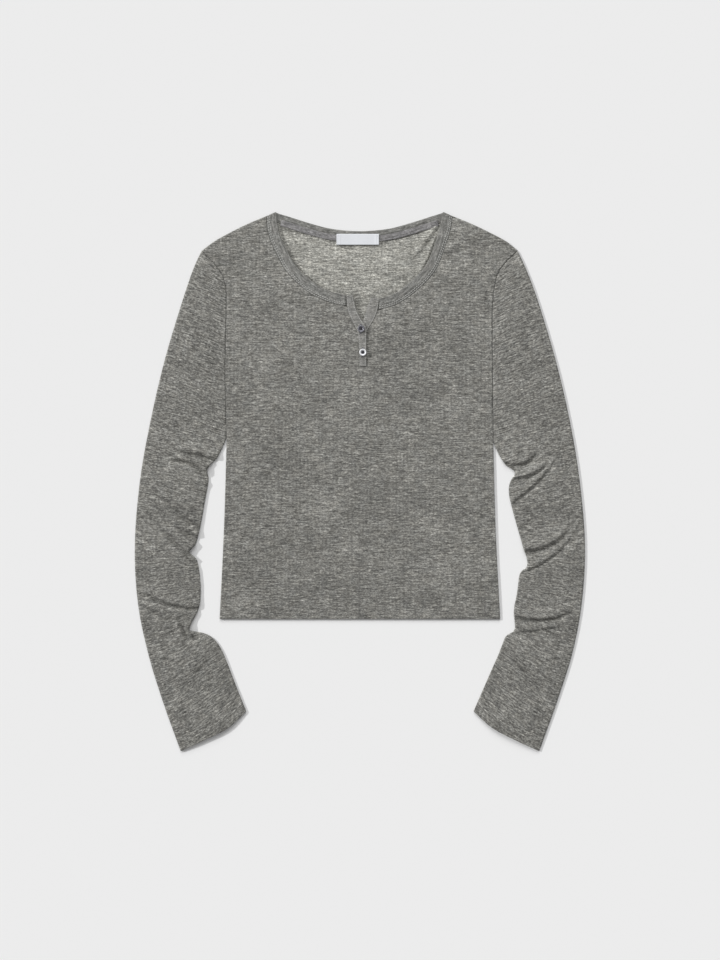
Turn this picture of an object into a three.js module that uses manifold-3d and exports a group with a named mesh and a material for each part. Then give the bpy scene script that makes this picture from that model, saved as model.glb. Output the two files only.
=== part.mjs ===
// A long-sleeved henley shirt in fine-rib jersey, laid flat on a surface with its front up.
// Millimetres, +Z up off the surface, +Y towards the neck, origin under the middle of the shirt.
// Left and right in the tables are as seen from above: the wearer's left is at +X.
import * as THREE from 'three';
import { mergeVertices } from 'three/addons/utils/BufferGeometryUtils.js';
import Module from 'manifold-3d';

const wasm = await Module();
wasm.setup();

// Driving dimensions
const CLOTH = 1.2;          // wall of the rib jersey
const SEAM_GAP = 0.3;       // clearance between neighbouring pieces
const BAND_WIDTH = 14.0;    // neck binding, finished
const BAND_WALL = 1.6;      // folded binding is thicker than one layer
const RIB_PITCH = 4.8;      // one raised wale to the next
const RIB_RISE = 0.3;       // height of a wale over the valleys beside it
const BODY_CROWN = 1.2;     // how far the front stands off the back in the middle
const SLEEVE_CROWN = 1.4;   // the same inside a sleeve
const SLEEVE_SPAN = 92;     // flat width of a sleeve, fold to seam
const TAPE_WALL = 1.0;      // neck tape
const BUTTON = { width: 9.2, height: 2.2, hole: 1.1, spread: 1.35 };
const HALF_CHEST = 174;     // middle to armhole seam
const HEM_HEIGHT = -178.8;
const NECK = { half: 108, height: 350, slope: 0.52 };     // where the shoulder lines start, and their fall
const ARMHOLE = { bend: 250, lean: 0.6 };                 // above the bend the armhole leans out

// Levels worked out from the walls
const FRONT_UNDER = CLOTH + SEAM_GAP;
const FOLD_CENTRE = CLOTH + SEAM_GAP / 2;
const TALL = 40;            // higher than anything here, for cutting prisms
const DEEP = -5;            // lower than anything here

// The edges of the body, from hem to neck point, in plan. A sharp row is a corner.
const BODY_EDGE = [
  { at: 'hem', left: [-182.4, HEM_HEIGHT], right: [182.4, HEM_HEIGHT], sharp: true },
  { at: 'waist', left: [-176.8, -62.7], right: [176.4, -62.7] },
  { at: 'armpit', left: [-173.2, 56.9], right: [173.4, 51.7], sharp: true },
  { at: 'chest', left: [-175.0, 142.7], right: [172.4, 142.7] },
  { at: 'armhole bend', left: [-173.4, 236.3], right: [172.3, 226.8] },
  { at: 'armhole turn', left: [-176.5, 262.8], right: [177.6, 265.5] },
  { at: 'armhole top', left: [-186.2, 279.8], right: [188.0, 283.5] },
  { at: 'shoulder tip', left: [-205.7, 300.0], right: [205.1, 300.0], sharp: true },
  { at: 'shoulder drop', left: [-186.2, 314.3], right: [186.9, 314.3] },
  { at: 'shoulder middle', left: [-150.0, 333.2], right: [150.0, 333.0] },
  { at: 'neck point', left: [-108.5, 350.6], right: [107.5, 350.6], sharp: true },
];

// The free edge of the neck binding. The front rows run from a neck point down to the placket.
const FRONT_NECK = {
  left: [
    { x: -108.6, y: 349.36 }, { x: -105.6, y: 326.0 }, { x: -98.4, y: 307.8 }, { x: -83.5, y: 280.5 },
    { x: -60.1, y: 258.4 }, { x: -38.0, y: 247.2 }, { x: -17.9, y: 242.6 },
  ],
  right: [
    { x: 107.6, y: 349.36 }, { x: 105.0, y: 334.4 }, { x: 100.5, y: 318.2 }, { x: 86.2, y: 281.8 },
    { x: 62.8, y: 257.1 }, { x: 42.0, y: 243.0 }, { x: 25.9, y: 238.2 },
  ],
};
const BAND_END = { left: [-16.9, 228.6], right: [24.4, 224.2] };   // its sewn corners at the placket
const BACK_NECK = [
  { x: -108.6, y: 349.36 }, { x: -92.6, y: 344.6 }, { x: -64.0, y: 335.6 }, { x: -36.0, y: 328.6 },
  { x: -0.3, y: 325.6 }, { x: 36.0, y: 328.6 }, { x: 63.6, y: 335.6 }, { x: 92.0, y: 344.6 },
  { x: 107.6, y: 349.36 },
];

// Each placket strip, station by station: its free edge and the edge sewn to the front
const PLACKET_TOP = [
  { free: [-8.8, 242.4], sewn: [-17.5, 242.4] },
  { free: [-4.8, 224.6], sewn: [-15.9, 222.6] },
  { free: [1.0, 212.2], sewn: [-11.2, 210.3] },
  { free: [8.4, 200.2], sewn: [-4.6, 197.3] },
  { free: [8.8, 186.9], sewn: [-2.0, 186.9] },
  { free: [8.4, 149.8], sewn: [-0.6, 149.8] },
];
const PLACKET_UNDER = [
  { free: [14.7, 239.4], sewn: [25.5, 237.8] },
  { free: [9.8, 228.0], sewn: [23.0, 222.0] },
  { free: [6.0, 214.0], sewn: [17.6, 209.0] },
  { free: [1.0, 202.0], sewn: [11.6, 199.0] },
  { free: [-0.4, 186.0], sewn: [7.4, 186.0] },
  { free: [0.6, 152.6], sewn: [7.4, 152.6] },
];
const THROAT_FOOT = 209;    // where the two strips' free edges cross

const BUTTONS = [
  { name: 'button_upper', x: 1.6, y: 198.4 },
  { name: 'button_lower', x: 3.9, y: 167.8 },
];
const TAPE = { from: 7.0, to: 14.7, clear: 8.0 };   // in from the free edge, and past the neck point
const LABEL = { x: -2.7, y: 314.8, width: 55.3, height: 14.3, wall: 1.0 };

// The sleeves, named for the wearer, with the side each is seen on from above. The outer edge is a
// fold, from shoulder tip to cuff. The inner edge is the underarm seam, given from the cuff up to the
// armpit, and is pinched in three places where the cloth is tucked.
const SLEEVES = {
  sleeve_right: {
    side: 'left',
    outer: [
      { x: -205.7, y: 300.0 }, { x: -216.1, y: 277.9 }, { x: -230.4, y: 236.3 }, { x: -253.8, y: 158.3 },
      { x: -272.0, y: 80.3 }, { x: -285.9, y: 2.3 }, { x: -292.7, y: -82.0 }, { x: -288.9, y: -156.3 },
      { x: -275.9, y: -221.3 }, { x: -257.0, y: -283.7 }, { x: -233.0, y: -350.6, sharp: true },
    ],
    cuff: [
      { x: -233.0, y: -350.6 }, { x: -203.1, y: -336.6 }, { x: -171.9, y: -321.0 }, { x: -147.8, y: -298.7 },
    ],
    inner: [
      { x: -147.8, y: -298.7 }, { x: -162.1, y: -262.9 }, { x: -171.6, y: -238.0 }, { x: -176.9, y: -224.9 },
      { x: -181.0, y: -216.6 }, { x: -185.2, y: -210.2 }, { x: -189.4, y: -205.3 }, { x: -194.0, y: -201.4 },
      { x: -200.7, y: -197.9 }, { x: -210.0, y: -195.6 }, { x: -222.0, y: -193.6, sharp: true },
      { x: -220.9, y: -188.6 }, { x: -218.6, y: -183.0 }, { x: -215.7, y: -178.0 }, { x: -211.6, y: -170.2 },
      { x: -208.9, y: -162.4 }, { x: -207.4, y: -153.0 }, { x: -207.0, y: -136.0 }, { x: -208.4, y: -120.0 },
      { x: -209.6, y: -112.0 }, { x: -210.6, y: -106.5 }, { x: -211.9, y: -102.2 }, { x: -214.1, y: -98.9 },
      { x: -218.9, y: -94.8 }, { x: -221.9, y: -90.9, sharp: true }, { x: -218.3, y: -87.1 },
      { x: -214.9, y: -83.6 }, { x: -212.8, y: -79.2 }, { x: -210.6, y: -71.4 }, { x: -207.2, y: -57.0 },
      { x: -203.6, y: -37.0 }, { x: -200.8, y: -21.0 }, { x: -198.7, y: -10.0 }, { x: -197.3, y: -2.5 },
      { x: -196.9, y: 3.0 }, { x: -197.3, y: 8.0 }, { x: -198.4, y: 12.0 }, { x: -198.3, y: 15.9 },
      { x: -196.0, y: 19.6 }, { x: -192.6, y: 23.4 }, { x: -188.4, y: 27.4 }, { x: -184.9, y: 32.0 },
      { x: -179.6, y: 42.5 }, { x: -173.2, y: 56.9 },
    ],
    folds: [
      { from: [-190, 31.5], to: [-234, 40], bow: -1.5, width: 6, rise: 2.6 },
      { from: [-197, 10.5], to: [-244, 29], bow: -5, width: 5.5, rise: 2.2 },
      { from: [-216, -76], to: [-250, -42], bow: 0, width: 6, rise: 1.8 },
      { from: [-222, -106], to: [-256, -76], bow: 0, width: 6, rise: 2 },
      { from: [-272, -148.5], to: [-219, -167], bow: -3, width: 7, rise: 2.4 },
      { from: [-224, -197], to: [-226, -178], bow: 0, width: 5, rise: 2 },
    ],
  },
  sleeve_left: {
    side: 'right',
    outer: [
      { x: 205.1, y: 300.0 }, { x: 215.5, y: 277.9 }, { x: 231.1, y: 236.3 }, { x: 254.5, y: 158.3 },
      { x: 272.7, y: 80.3 }, { x: 285.7, y: 2.3 }, { x: 292.7, y: -82.0 }, { x: 288.7, y: -156.3 },
      { x: 276.6, y: -221.3 }, { x: 257.1, y: -283.7 }, { x: 233.1, y: -350.6, sharp: true },
    ],
    cuff: [
      { x: 233.1, y: -350.6 }, { x: 201.2, y: -335.9 }, { x: 171.3, y: -319.8 }, { x: 147.9, y: -298.7 },
    ],
    inner: [
      { x: 147.9, y: -298.7 }, { x: 163.5, y: -262.9 }, { x: 172.6, y: -242.0 }, { x: 178.6, y: -228.8 },
      { x: 183.3, y: -217.1 }, { x: 186.3, y: -209.3 }, { x: 188.2, y: -204.3 }, { x: 190.9, y: -200.2 },
      { x: 195.5, y: -197.5 }, { x: 199.6, y: -194.9 }, { x: 201.6, y: -190.4 }, { x: 201.6, y: -185.8 },
      { x: 200.9, y: -178.0 }, { x: 200.2, y: -170.2 }, { x: 201.2, y: -160.0 }, { x: 203.1, y: -152.0 },
      { x: 205.0, y: -140.5 }, { x: 206.2, y: -130.0 }, { x: 207.2, y: -123.5 }, { x: 208.8, y: -118.6 },
      { x: 212.0, y: -115.0 }, { x: 216.0, y: -112.4 }, { x: 217.7, y: -108.0 }, { x: 217.8, y: -103.6 },
      { x: 216.2, y: -96.1 }, { x: 212.9, y: -88.3 }, { x: 210.0, y: -76.7 }, { x: 205.6, y: -62.0 },
      { x: 200.6, y: -44.0 }, { x: 196.9, y: -30.0 }, { x: 194.6, y: -20.0 }, { x: 193.7, y: -12.0 },
      { x: 194.2, y: -5.0 }, { x: 195.8, y: 0.1 }, { x: 198.0, y: 4.2 }, { x: 200.8, y: 8.0 },
      { x: 201.3, y: 12.0 }, { x: 198.3, y: 15.7 }, { x: 191.9, y: 19.6 }, { x: 188.1, y: 23.5 },
      { x: 183.0, y: 31.3 }, { x: 178.9, y: 39.1 }, { x: 173.4, y: 51.7 },
    ],
    folds: [
      { from: [195, 25.5], to: [226, 39.5], bow: -4.5, width: 6, rise: 2.2 },
      { from: [198, 1], to: [234, 30], bow: -5, width: 5, rise: 2 },
      { from: [204, -22], to: [257, 36], bow: -5, width: 5, rise: 2 },
      { from: [214, -86], to: [272, -58], bow: -9, width: 8, rise: 2.6 },
      { from: [219, -114], to: [284, -55], bow: -10, width: 5, rise: 1.6 },
      { from: [202, -173], to: [272, -167], bow: -6.5, width: 7, rise: 2.4 },
      { from: [206, -194], to: [262, -184], bow: -5, width: 5, rise: 1.4 },
    ],
  },
};

const STATION = { close: 14, wide: 26 };      // spacing of the sections down a sleeve
const PINCHED = { from: 220, to: 545 };       // the stretch that the tucks reach, from the shoulder tip
const SMOOTHING = 0.06;                       // part of the sleeve's length that its direction is taken over
const SLEEVE_RUNOUT = 40;                     // past both ends, before the outline cuts it

// Soft folds in the front, each a low ridge along a bowed line
const FRONT_FOLDS = [
  { from: [114, 300], to: [176, 318], bow: 8, width: 7, rise: 1.0 },
  { from: [-70, -60], to: [-96, -134], bow: 3, width: 9, rise: 0.9 },
  { from: [-146, 40], to: [-164, -36], bow: -3, width: 10, rise: 1.0 },
  { from: [160, 252], to: [158, 190], bow: 2, width: 7, rise: 1.0 },
  { from: [14, 112], to: [16, 70], bow: 0, width: 8, rise: 0.6 },
  { from: [146, 20], to: [164, -90], bow: 3, width: 10, rise: 0.8 },
];
const FRONT_ROWS = [-190, -136, -96, -56, -14, 34, 74, 114, 160, 205, 240, 266, 290, 312, 332, 356];

const vector = ([x, y]) => new THREE.Vector2(x, y);
const smooth = (edge0, edge1, value) => THREE.MathUtils.smoothstep(value, edge0, edge1);

// A smooth line through the rows of a table, broken where a row is sharp
function lineThrough(rows, perSpan = 3) {
  const line = [];
  let run = [];
  rows.forEach((row, index) => {
    run.push(new THREE.Vector2(row.x, row.y));
    if ((row.sharp || index === rows.length - 1) && run.length > 1) {
      const points = new THREE.SplineCurve(run).getPoints((run.length - 1) * perSpan);
      line.push(...(line.length ? points.slice(1) : points));
      run = [run[run.length - 1]];
    }
  });
  return line;
}

// The same line moved sideways, to its left for a positive distance
function beside(line, distance) {
  return line.map((point, index) => {
    const before = line[Math.max(index - 1, 0)];
    const after = line[Math.min(index + 1, line.length - 1)];
    const along = after.clone().sub(before).normalize();
    return new THREE.Vector2(point.x - along.y * distance, point.y + along.x * distance);
  });
}

const moved = (line, dx, dy) => line.map((point) => new THREE.Vector2(point.x + dx, point.y + dy));

// Turns vertex and triangle lists into a solid with its faces pointing out
function solidFrom(vertices, triangles) {
  let volume = 0;
  for (let k = 0; k < triangles.length; k += 3) {
    const [a, b, c] = [0, 1, 2].map((n) => new THREE.Vector3().fromArray(vertices, triangles[k + n] * 3));
    volume += a.dot(b.cross(c));
  }
  const order = volume < 0 ? [0, 2, 1] : [0, 1, 2];
  const turned = new Uint32Array(triangles.length);
  for (let k = 0; k < triangles.length; k += 3) {
    order.forEach((n, slot) => { turned[k + slot] = triangles[k + n]; });
  }
  return new wasm.Manifold(new wasm.Mesh({
    numProp: 3, vertProperties: new Float32Array(vertices), triVerts: turned,
  }));
}

function solidOf(geometry) {
  const bare = geometry.clone();
  bare.deleteAttribute('normal');
  bare.deleteAttribute('uv');
  const merged = mergeVertices(bare, 1e-4);
  return solidFrom(Array.from(merged.attributes.position.array), Array.from(merged.index.array));
}

function prism(outline, low, high) {
  const shape = new THREE.Shape(outline);
  const geometry = new THREE.ExtrudeGeometry(shape, { depth: high - low, bevelEnabled: false });
  geometry.translate(0, 0, low);
  return solidOf(geometry);
}

// Everything between a floor level and a surface over a grid of plan points
function under(grid, height, low = DEEP) {
  const rows = grid.length;
  const columns = grid[0].length;
  const vertices = [];
  const triangles = [];
  for (const top of [true, false]) {
    for (const row of grid) for (const p of row) vertices.push(p.x, p.y, top ? height(p) : low);
  }
  const at = (row, column, top) => (top ? 0 : rows * columns) + row * columns + column;
  for (let r = 0; r < rows - 1; r += 1) {
    for (let c = 0; c < columns - 1; c += 1) {
      const t = [at(r, c, true), at(r, c + 1, true), at(r + 1, c + 1, true), at(r + 1, c, true)];
      const b = [at(r, c, false), at(r, c + 1, false), at(r + 1, c + 1, false), at(r + 1, c, false)];
      triangles.push(t[0], t[1], t[2], t[0], t[2], t[3], b[0], b[2], b[1], b[0], b[3], b[2]);
    }
  }
  const rim = [];
  for (let c = 0; c < columns - 1; c += 1) rim.push([0, c]);
  for (let r = 0; r < rows - 1; r += 1) rim.push([r, columns - 1]);
  for (let c = columns - 1; c > 0; c -= 1) rim.push([rows - 1, c]);
  for (let r = rows - 1; r > 0; r -= 1) rim.push([r, 0]);
  rim.forEach(([r, c], index) => {
    const [r2, c2] = rim[(index + 1) % rim.length];
    const [a, b, d, e] = [at(r, c, true), at(r2, c2, true), at(r, c, false), at(r2, c2, false)];
    triangles.push(a, d, b, b, d, e);
  });
  return solidFrom(vertices, triangles);
}

// Height that the folds of a table add at a point: a soft ridge that fades towards its far end
function foldHeight(folds, p) {
  return folds.reduce((sum, fold) => {
    const start = vector(fold.from);
    const span = vector(fold.to).sub(start);
    const offset = new THREE.Vector2(p.x, p.y).sub(start);
    const along = offset.dot(span) / span.lengthSq();
    const t = THREE.MathUtils.clamp(along, 0, 1);
    const aside = span.cross(offset) / span.length() - fold.bow * 4 * t * (1 - t);
    const past = (along - t) * span.length();
    const fade = Math.cos((t * Math.PI) / 2) ** 0.7;
    return sum + fold.rise * fade * Math.exp(-(aside * aside + past * past) / fold.width ** 2);
  }, 0);
}

const ribRise = (across) => {
  const phase = across / RIB_PITCH - Math.floor(across / RIB_PITCH);
  return RIB_RISE * (1 - Math.abs(2 * phase - 1));
};

// Body edges as lines
const bodyRow = (name) => BODY_EDGE.findIndex((row) => row.at === name);
const bodyEdge = (side, from, to) => lineThrough(
  BODY_EDGE.slice(bodyRow(from), bodyRow(to) + 1).map((row) => (
    { x: row[side][0], y: row[side][1], sharp: row.sharp })));
const wholeBody = [
  ...bodyEdge('left', 'hem', 'neck point'),
  ...bodyEdge('right', 'hem', 'neck point').reverse(),
];

// Height of the front's inner surface over the plan: close to the back round its edges, a soft
// crown in the middle, and the folds
function frontInside(p) {
  const fromSide = HALF_CHEST - Math.abs(p.x);
  const fromShoulder = NECK.height - Math.max(0, Math.abs(p.x) - NECK.half) * NECK.slope - p.y;
  const crown = smooth(0, 60, fromSide) * smooth(0, 60, p.y - HEM_HEIGHT) * smooth(0, 50, fromShoulder);
  return FRONT_UNDER + crown * BODY_CROWN + smooth(0, 14, fromSide) * foldHeight(FRONT_FOLDS, p);
}
const frontOutside = (p) => frontInside(p) + CLOTH;

// Binding: free edge and sewn edge of the front stretches and the back stretch
const frontFree = (side) => lineThrough(FRONT_NECK[side], 3);
const frontSewn = (side) => {
  const line = frontFree(side);
  const sewn = beside(line, side === 'left' ? -BAND_WIDTH : BAND_WIDTH);
  sewn[0] = shoulderPoint(side, BAND_WIDTH);
  sewn[sewn.length - 1] = vector(BAND_END[side]);
  return sewn;
};
// Along and out from the shoulder line at each neck point
const shoulderSlope = (side) => new THREE.Vector2(side === 'left' ? -0.915 : 0.915, -0.403);
const shoulderAway = (side) => new THREE.Vector2(side === 'left' ? -0.403 : 0.403, 0.915);
// A point of the shoulder line, so far out from the neck point
function shoulderPoint(side, distance) {
  const neck = FRONT_NECK[side][0];
  return new THREE.Vector2(neck.x, neck.y).addScaledVector(shoulderSlope(side), distance);
}
const backFree = lineThrough(BACK_NECK, 3);
// The sewn edge swings from the shoulder line to square under the neck edge
const backSewn = beside(backFree, -BAND_WIDTH).map((point, index, line) => {
  const turn = Math.min(index, line.length - 1 - index);
  const blend = smooth(0, 4, turn);
  const end = shoulderPoint(index < line.length / 2 ? 'left' : 'right', BAND_WIDTH);
  const start = backFree[index < line.length / 2 ? 0 : backFree.length - 1];
  const swung = backFree[index].clone().add(end.sub(start));
  return swung.lerp(point, blend);
});

// The neck hole of each panel: everything inside the sewn edge, with the seam's clearance
function neckHole(sewn) {
  const line = beside(sewn, -SEAM_GAP);
  line[0] = shoulderPoint('left', BAND_WIDTH + SEAM_GAP);
  line[line.length - 1] = shoulderPoint('right', BAND_WIDTH + SEAM_GAP);
  const above = (side, point) => point.clone().addScaledVector(shoulderAway(side), TALL);
  return prism([above('left', line[0]), ...line, above('right', line[line.length - 1])], DEEP, TALL);
}
const frontHole = neckHole([...frontSewn('left'), ...frontSewn('right').reverse()]);
const backHole = neckHole(backSewn);

// Placket strips
const edgeOf = (strip, which) => lineThrough(strip.map((row) => ({ x: row[which][0], y: row[which][1] })), 3);
function stripOutline(strip, room = 0) {
  const hand = Math.sign(strip[0].sewn[0] - strip[0].free[0]);
  const free = beside(edgeOf(strip, 'free'), -hand * room);
  const sewn = beside(edgeOf(strip, 'sewn'), hand * room);
  for (const edge of [free, sewn]) edge[edge.length - 1].y -= room;
  return [...free, ...sewn.reverse()];
}
// The open throat between the strips, down to where they cross
const throat = [
  new THREE.Vector2(PLACKET_TOP[0].free[0], 270),
  ...edgeOf(PLACKET_TOP, 'free').filter((p) => p.y > THROAT_FOOT),
  ...edgeOf(PLACKET_UNDER, 'free').filter((p) => p.y > THROAT_FOOT).reverse(),
  new THREE.Vector2(PLACKET_UNDER[0].free[0], 270),
];

function grid(columns, rows) {
  return rows.map((y) => columns.map((x) => ({ x, y, across: x })));
}
const stepped = (from, to, step) => Array.from(
  { length: Math.ceil((to - from) / step) + 1 }, (_, n) => from + n * step);

function backPanel() {
  return prism(wholeBody, 0, CLOTH).subtract(backHole);
}

function frontPanel() {
  const columns = stepped(-44 * RIB_PITCH, 44 * RIB_PITCH, RIB_PITCH / 2);
  const outside = under(grid(columns, FRONT_ROWS), (p) => frontOutside(p) + ribRise(p.across));
  const inside = under(grid(stepped(-216, 216, 24), FRONT_ROWS), frontInside);
  const underStrip = prism(stripOutline(PLACKET_UNDER, SEAM_GAP), DEEP, TALL);
  return prism(wholeBody, 0, TALL).intersect(outside).subtract(inside)
    .subtract(frontHole).subtract(underStrip).subtract(prism(throat, DEEP, TALL));
}

function strip(outline, lift, wall) {
  const xs = outline.map((p) => p.x);
  const ys = outline.map((p) => p.y);
  const plan = grid(
    stepped(Math.min(...xs) - 2, Math.max(...xs) + 2, 6),
    stepped(Math.min(...ys) - 2, Math.max(...ys) + 2, 12));
  const top = under(plan, (p) => frontInside(p) + lift + wall);
  return prism(outline, 0, TALL).intersect(top).subtract(under(plan, (p) => frontInside(p) + lift));
}

// The binding is one strip lofted through sections of four corners
function neckband() {
  const sections = [];
  const section = (free, sewn, under4) => sections.push([
    [free.x, free.y, under4[0]], [sewn.x, sewn.y, under4[1]],
    [sewn.x, sewn.y, under4[2]], [free.x, free.y, under4[3]],
  ]);
  const front = (side) => {
    const free = frontFree(side);
    const sewn = frontSewn(side);
    return free.map((point, n) => [point, sewn[n]]);
  };
  const layFront = ([free, sewn]) => section(free, sewn, [
    frontInside(free), frontInside(sewn), frontInside(sewn) + BAND_WALL, frontInside(free) + BAND_WALL]);
  const turnOver = (side, order) => {
    const free = shoulderPoint(side, 0);
    const sewn = shoulderPoint(side, BAND_WIDTH);
    const away = shoulderAway(side);
    order.forEach((degrees) => {
      const angle = THREE.MathUtils.degToRad(degrees);
      const near = SEAM_GAP / 2;
      const far = near + (degrees > 0 ? BAND_WALL : CLOTH);
      const corner = (point, reach) => [
        point.x + away.x * Math.cos(angle) * reach, point.y + away.y * Math.cos(angle) * reach,
        FOLD_CENTRE + Math.sin(angle) * reach];
      sections.push([corner(free, near), corner(sewn, near), corner(sewn, far), corner(free, far)]);
    });
  };
  front('left').reverse().slice(0, -1).forEach(layFront);
  turnOver('left', [90, 45, 0, -45, -90]);
  backFree.slice(1, -1).forEach((free, n) => {
    const sewn = backSewn[n + 1];
    section(free, sewn, [CLOTH, CLOTH, 0, 0]);
  });
  turnOver('right', [-90, -45, 0, 45, 90]);
  front('right').slice(1).forEach(layFront);
  const vertices = sections.flat(2);
  const triangles = [0, 1, 2, 0, 2, 3];
  for (let s = 0; s < sections.length - 1; s += 1) {
    for (let k = 0; k < 4; k += 1) {
      const [a, b] = [s * 4 + k, s * 4 + ((k + 1) % 4)];
      triangles.push(a, a + 4, b, b, a + 4, b + 4);
    }
  }
  const last = (sections.length - 1) * 4;
  triangles.push(last, last + 2, last + 1, last, last + 3, last + 2);
  return solidFrom(vertices, triangles);
}

function neckTape() {
  const reach = -BACK_NECK[0].x - TAPE.clear;
  const inside = backFree.filter((p) => Math.abs(p.x) < reach);
  const outline = [...beside(inside, -TAPE.from), ...beside(inside, -TAPE.to).reverse()];
  return prism(outline, CLOTH + SEAM_GAP, CLOTH + SEAM_GAP + TAPE_WALL);
}

function label() {
  const low = CLOTH + TAPE_WALL + 2 * SEAM_GAP;
  const [halfWidth, halfHeight] = [LABEL.width / 2, LABEL.height / 2];
  const outline = [[-1, -1], [1, -1], [1, 1], [-1, 1]].map(([sx, sy]) => (
    new THREE.Vector2(LABEL.x + sx * halfWidth, LABEL.y + sy * halfHeight)));
  return prism(outline, low, low + LABEL.wall);
}

// A turned button: raised rim, sunk middle, four holes
function button({ x, y }) {
  const [radius, height, bore] = [BUTTON.width / 2, BUTTON.height, BUTTON.hole / 2];
  const profile = [
    [0, 0], [radius * 0.72, 0], [radius * 0.94, height * 0.3], [radius, height * 0.62],
    [radius * 0.92, height * 0.94], [radius * 0.78, height], [radius * 0.62, height * 0.72],
    [radius * 0.52, height * 0.66], [0, height * 0.66],
  ].map(vector);
  const disc = new THREE.LatheGeometry(profile, 20).rotateX(Math.PI / 2);
  let solid = solidOf(disc);
  for (const angle of [45, 135, 225, 315]) {
    const hole = new THREE.CylinderGeometry(bore, bore, height * 4, 6).rotateX(Math.PI / 2);
    const turn = THREE.MathUtils.degToRad(angle);
    hole.translate(Math.cos(turn) * BUTTON.spread, Math.sin(turn) * BUTTON.spread, 0);
    solid = solid.subtract(solidOf(hole));
  }
  const seat = frontOutside({ x, y }) + RIB_RISE + CLOTH + 2 * SEAM_GAP;
  return solid.translate([x, y, seat]);
}

// A sleeve is a flat tube: the ribs follow its outer fold, and the underarm seam cuts them
function sleeve({ side, outer, cuff, inner, folds }) {
  const sign = side === 'left' ? 1 : -1;
  const fold = lineThrough(outer, 3);
  const armhole = beside(bodyEdge(side, 'armpit', 'shoulder tip'), sign * SEAM_GAP);
  const seam = lineThrough(inner, 2);
  seam[seam.length - 1] = armhole[0];
  const outline = [...fold.slice(1), ...lineThrough(cuff).slice(1), ...seam.slice(1), ...armhole.slice(1)];

  // Stations down the sleeve, closer together where it is pinched
  const axis = new THREE.SplineCurve(fold);
  const length = axis.getLength();
  const stations = [-SLEEVE_RUNOUT];
  while (stations[stations.length - 1] < length + SLEEVE_RUNOUT) {
    const distance = stations[stations.length - 1];
    const pinched = distance > PINCHED.from && distance < PINCHED.to;
    stations.push(distance + (pinched ? STATION.close : STATION.wide));
  }
  const place = (distance, across) => {
    const t = THREE.MathUtils.clamp(distance / length, 0, 1);
    const back = axis.getPointAt(Math.max(t - SMOOTHING, 0));
    const ahead = axis.getPointAt(Math.min(t + SMOOTHING, 1));
    const along = ahead.sub(back).normalize();
    const start = axis.getPointAt(t).addScaledVector(along, distance - t * length);
    return {
      x: start.x - along.y * sign * across, y: start.y + along.x * sign * across, across,
    };
  };
  const inside = (p) => {
    const crown = Math.max(0, 1 - (2 * p.across / SLEEVE_SPAN - 1) ** 2) * SLEEVE_CROWN;
    const pastArmhole = Math.abs(p.x) - HALF_CHEST - Math.max(0, p.y - ARMHOLE.bend) * ARMHOLE.lean;
    const folded = smooth(-1, 12, p.across) * foldHeight(folds, p);
    return FRONT_UNDER + smooth(0, 30, pastArmhole) * (crown + folded);
  };
  const across = stepped(-RIB_PITCH, 26 * RIB_PITCH, RIB_PITCH / 2);
  const fine = stations.map((d) => across.map((u) => place(d, u)));
  const apart = stepped(-RIB_PITCH, 26 * RIB_PITCH, RIB_PITCH * 3);
  const coarse = stations.map((d) => apart.map((u) => place(d, u)));
  const skin = under(fine, (p) => inside(p) + CLOTH + ribRise(p.across));
  const hollowOutline = [
    ...beside(fold, sign * CLOTH),
    ...moved(lineThrough(cuff), -sign * 6, -10).slice(1, -1),
    ...beside(seam, sign * CLOTH),
    ...moved(armhole, sign * 8, 0).slice(1),
  ];
  const hollow = prism(hollowOutline, CLOTH, TALL).intersect(under(coarse, inside));
  return prism(outline, 0, TALL).intersect(skin).subtract(hollow);
}

// Looks, in plain materials
const heather = new THREE.MeshStandardMaterial({ color: 0x7d7b77, roughness: 0.95, metalness: 0 });
const binding = new THREE.MeshStandardMaterial({ color: 0x83827e, roughness: 0.95, metalness: 0 });
const tapeCloth = new THREE.MeshStandardMaterial({ color: 0x7c7880, roughness: 0.9, metalness: 0 });
const satin = new THREE.MeshStandardMaterial({ color: 0xe1e4e8, roughness: 0.6, metalness: 0 });
const pearl = new THREE.MeshStandardMaterial({ color: 0xd9dadd, roughness: 0.25, metalness: 0 });
const smoke = new THREE.MeshStandardMaterial({ color: 0x6f7380, roughness: 0.3, metalness: 0 });

const shirt = new THREE.Group();
function add(name, solid, material) {
  const { vertProperties, triVerts } = solid.getMesh();
  const geometry = new THREE.BufferGeometry();
  geometry.setAttribute('position', new THREE.BufferAttribute(new Float32Array(vertProperties), 3));
  geometry.setIndex(new THREE.BufferAttribute(new Uint32Array(triVerts), 1));
  geometry.computeVertexNormals();
  const mesh = new THREE.Mesh(geometry, material);
  mesh.name = name;
  shirt.add(mesh);
}

add('back', backPanel(), heather);
add('front', frontPanel(), heather);
for (const [name, pattern] of Object.entries(SLEEVES)) add(name, sleeve(pattern), heather);
add('neckband', neckband(), binding);
add('placket_under', strip(stripOutline(PLACKET_UNDER), 0, CLOTH), heather);
add('placket_top', strip(stripOutline(PLACKET_TOP), CLOTH + RIB_RISE + SEAM_GAP, CLOTH), heather);
add('neck_tape', neckTape(), tapeCloth);
add('label', label(), satin);
BUTTONS.forEach((row, index) => add(row.name, button(row), index ? pearl : smoke));

export default shirt;
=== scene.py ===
# The looks of a long-sleeved henley shirt in heather-grey rib jersey, laid flat with its front up.
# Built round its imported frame, in metres, +Z up off the table and +Y towards the neck. Tables are in
# millimetres, and left and right in them are as seen from above.
import math

import bmesh
import bpy
import numpy as np
from mathutils import Matrix, Vector


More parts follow.
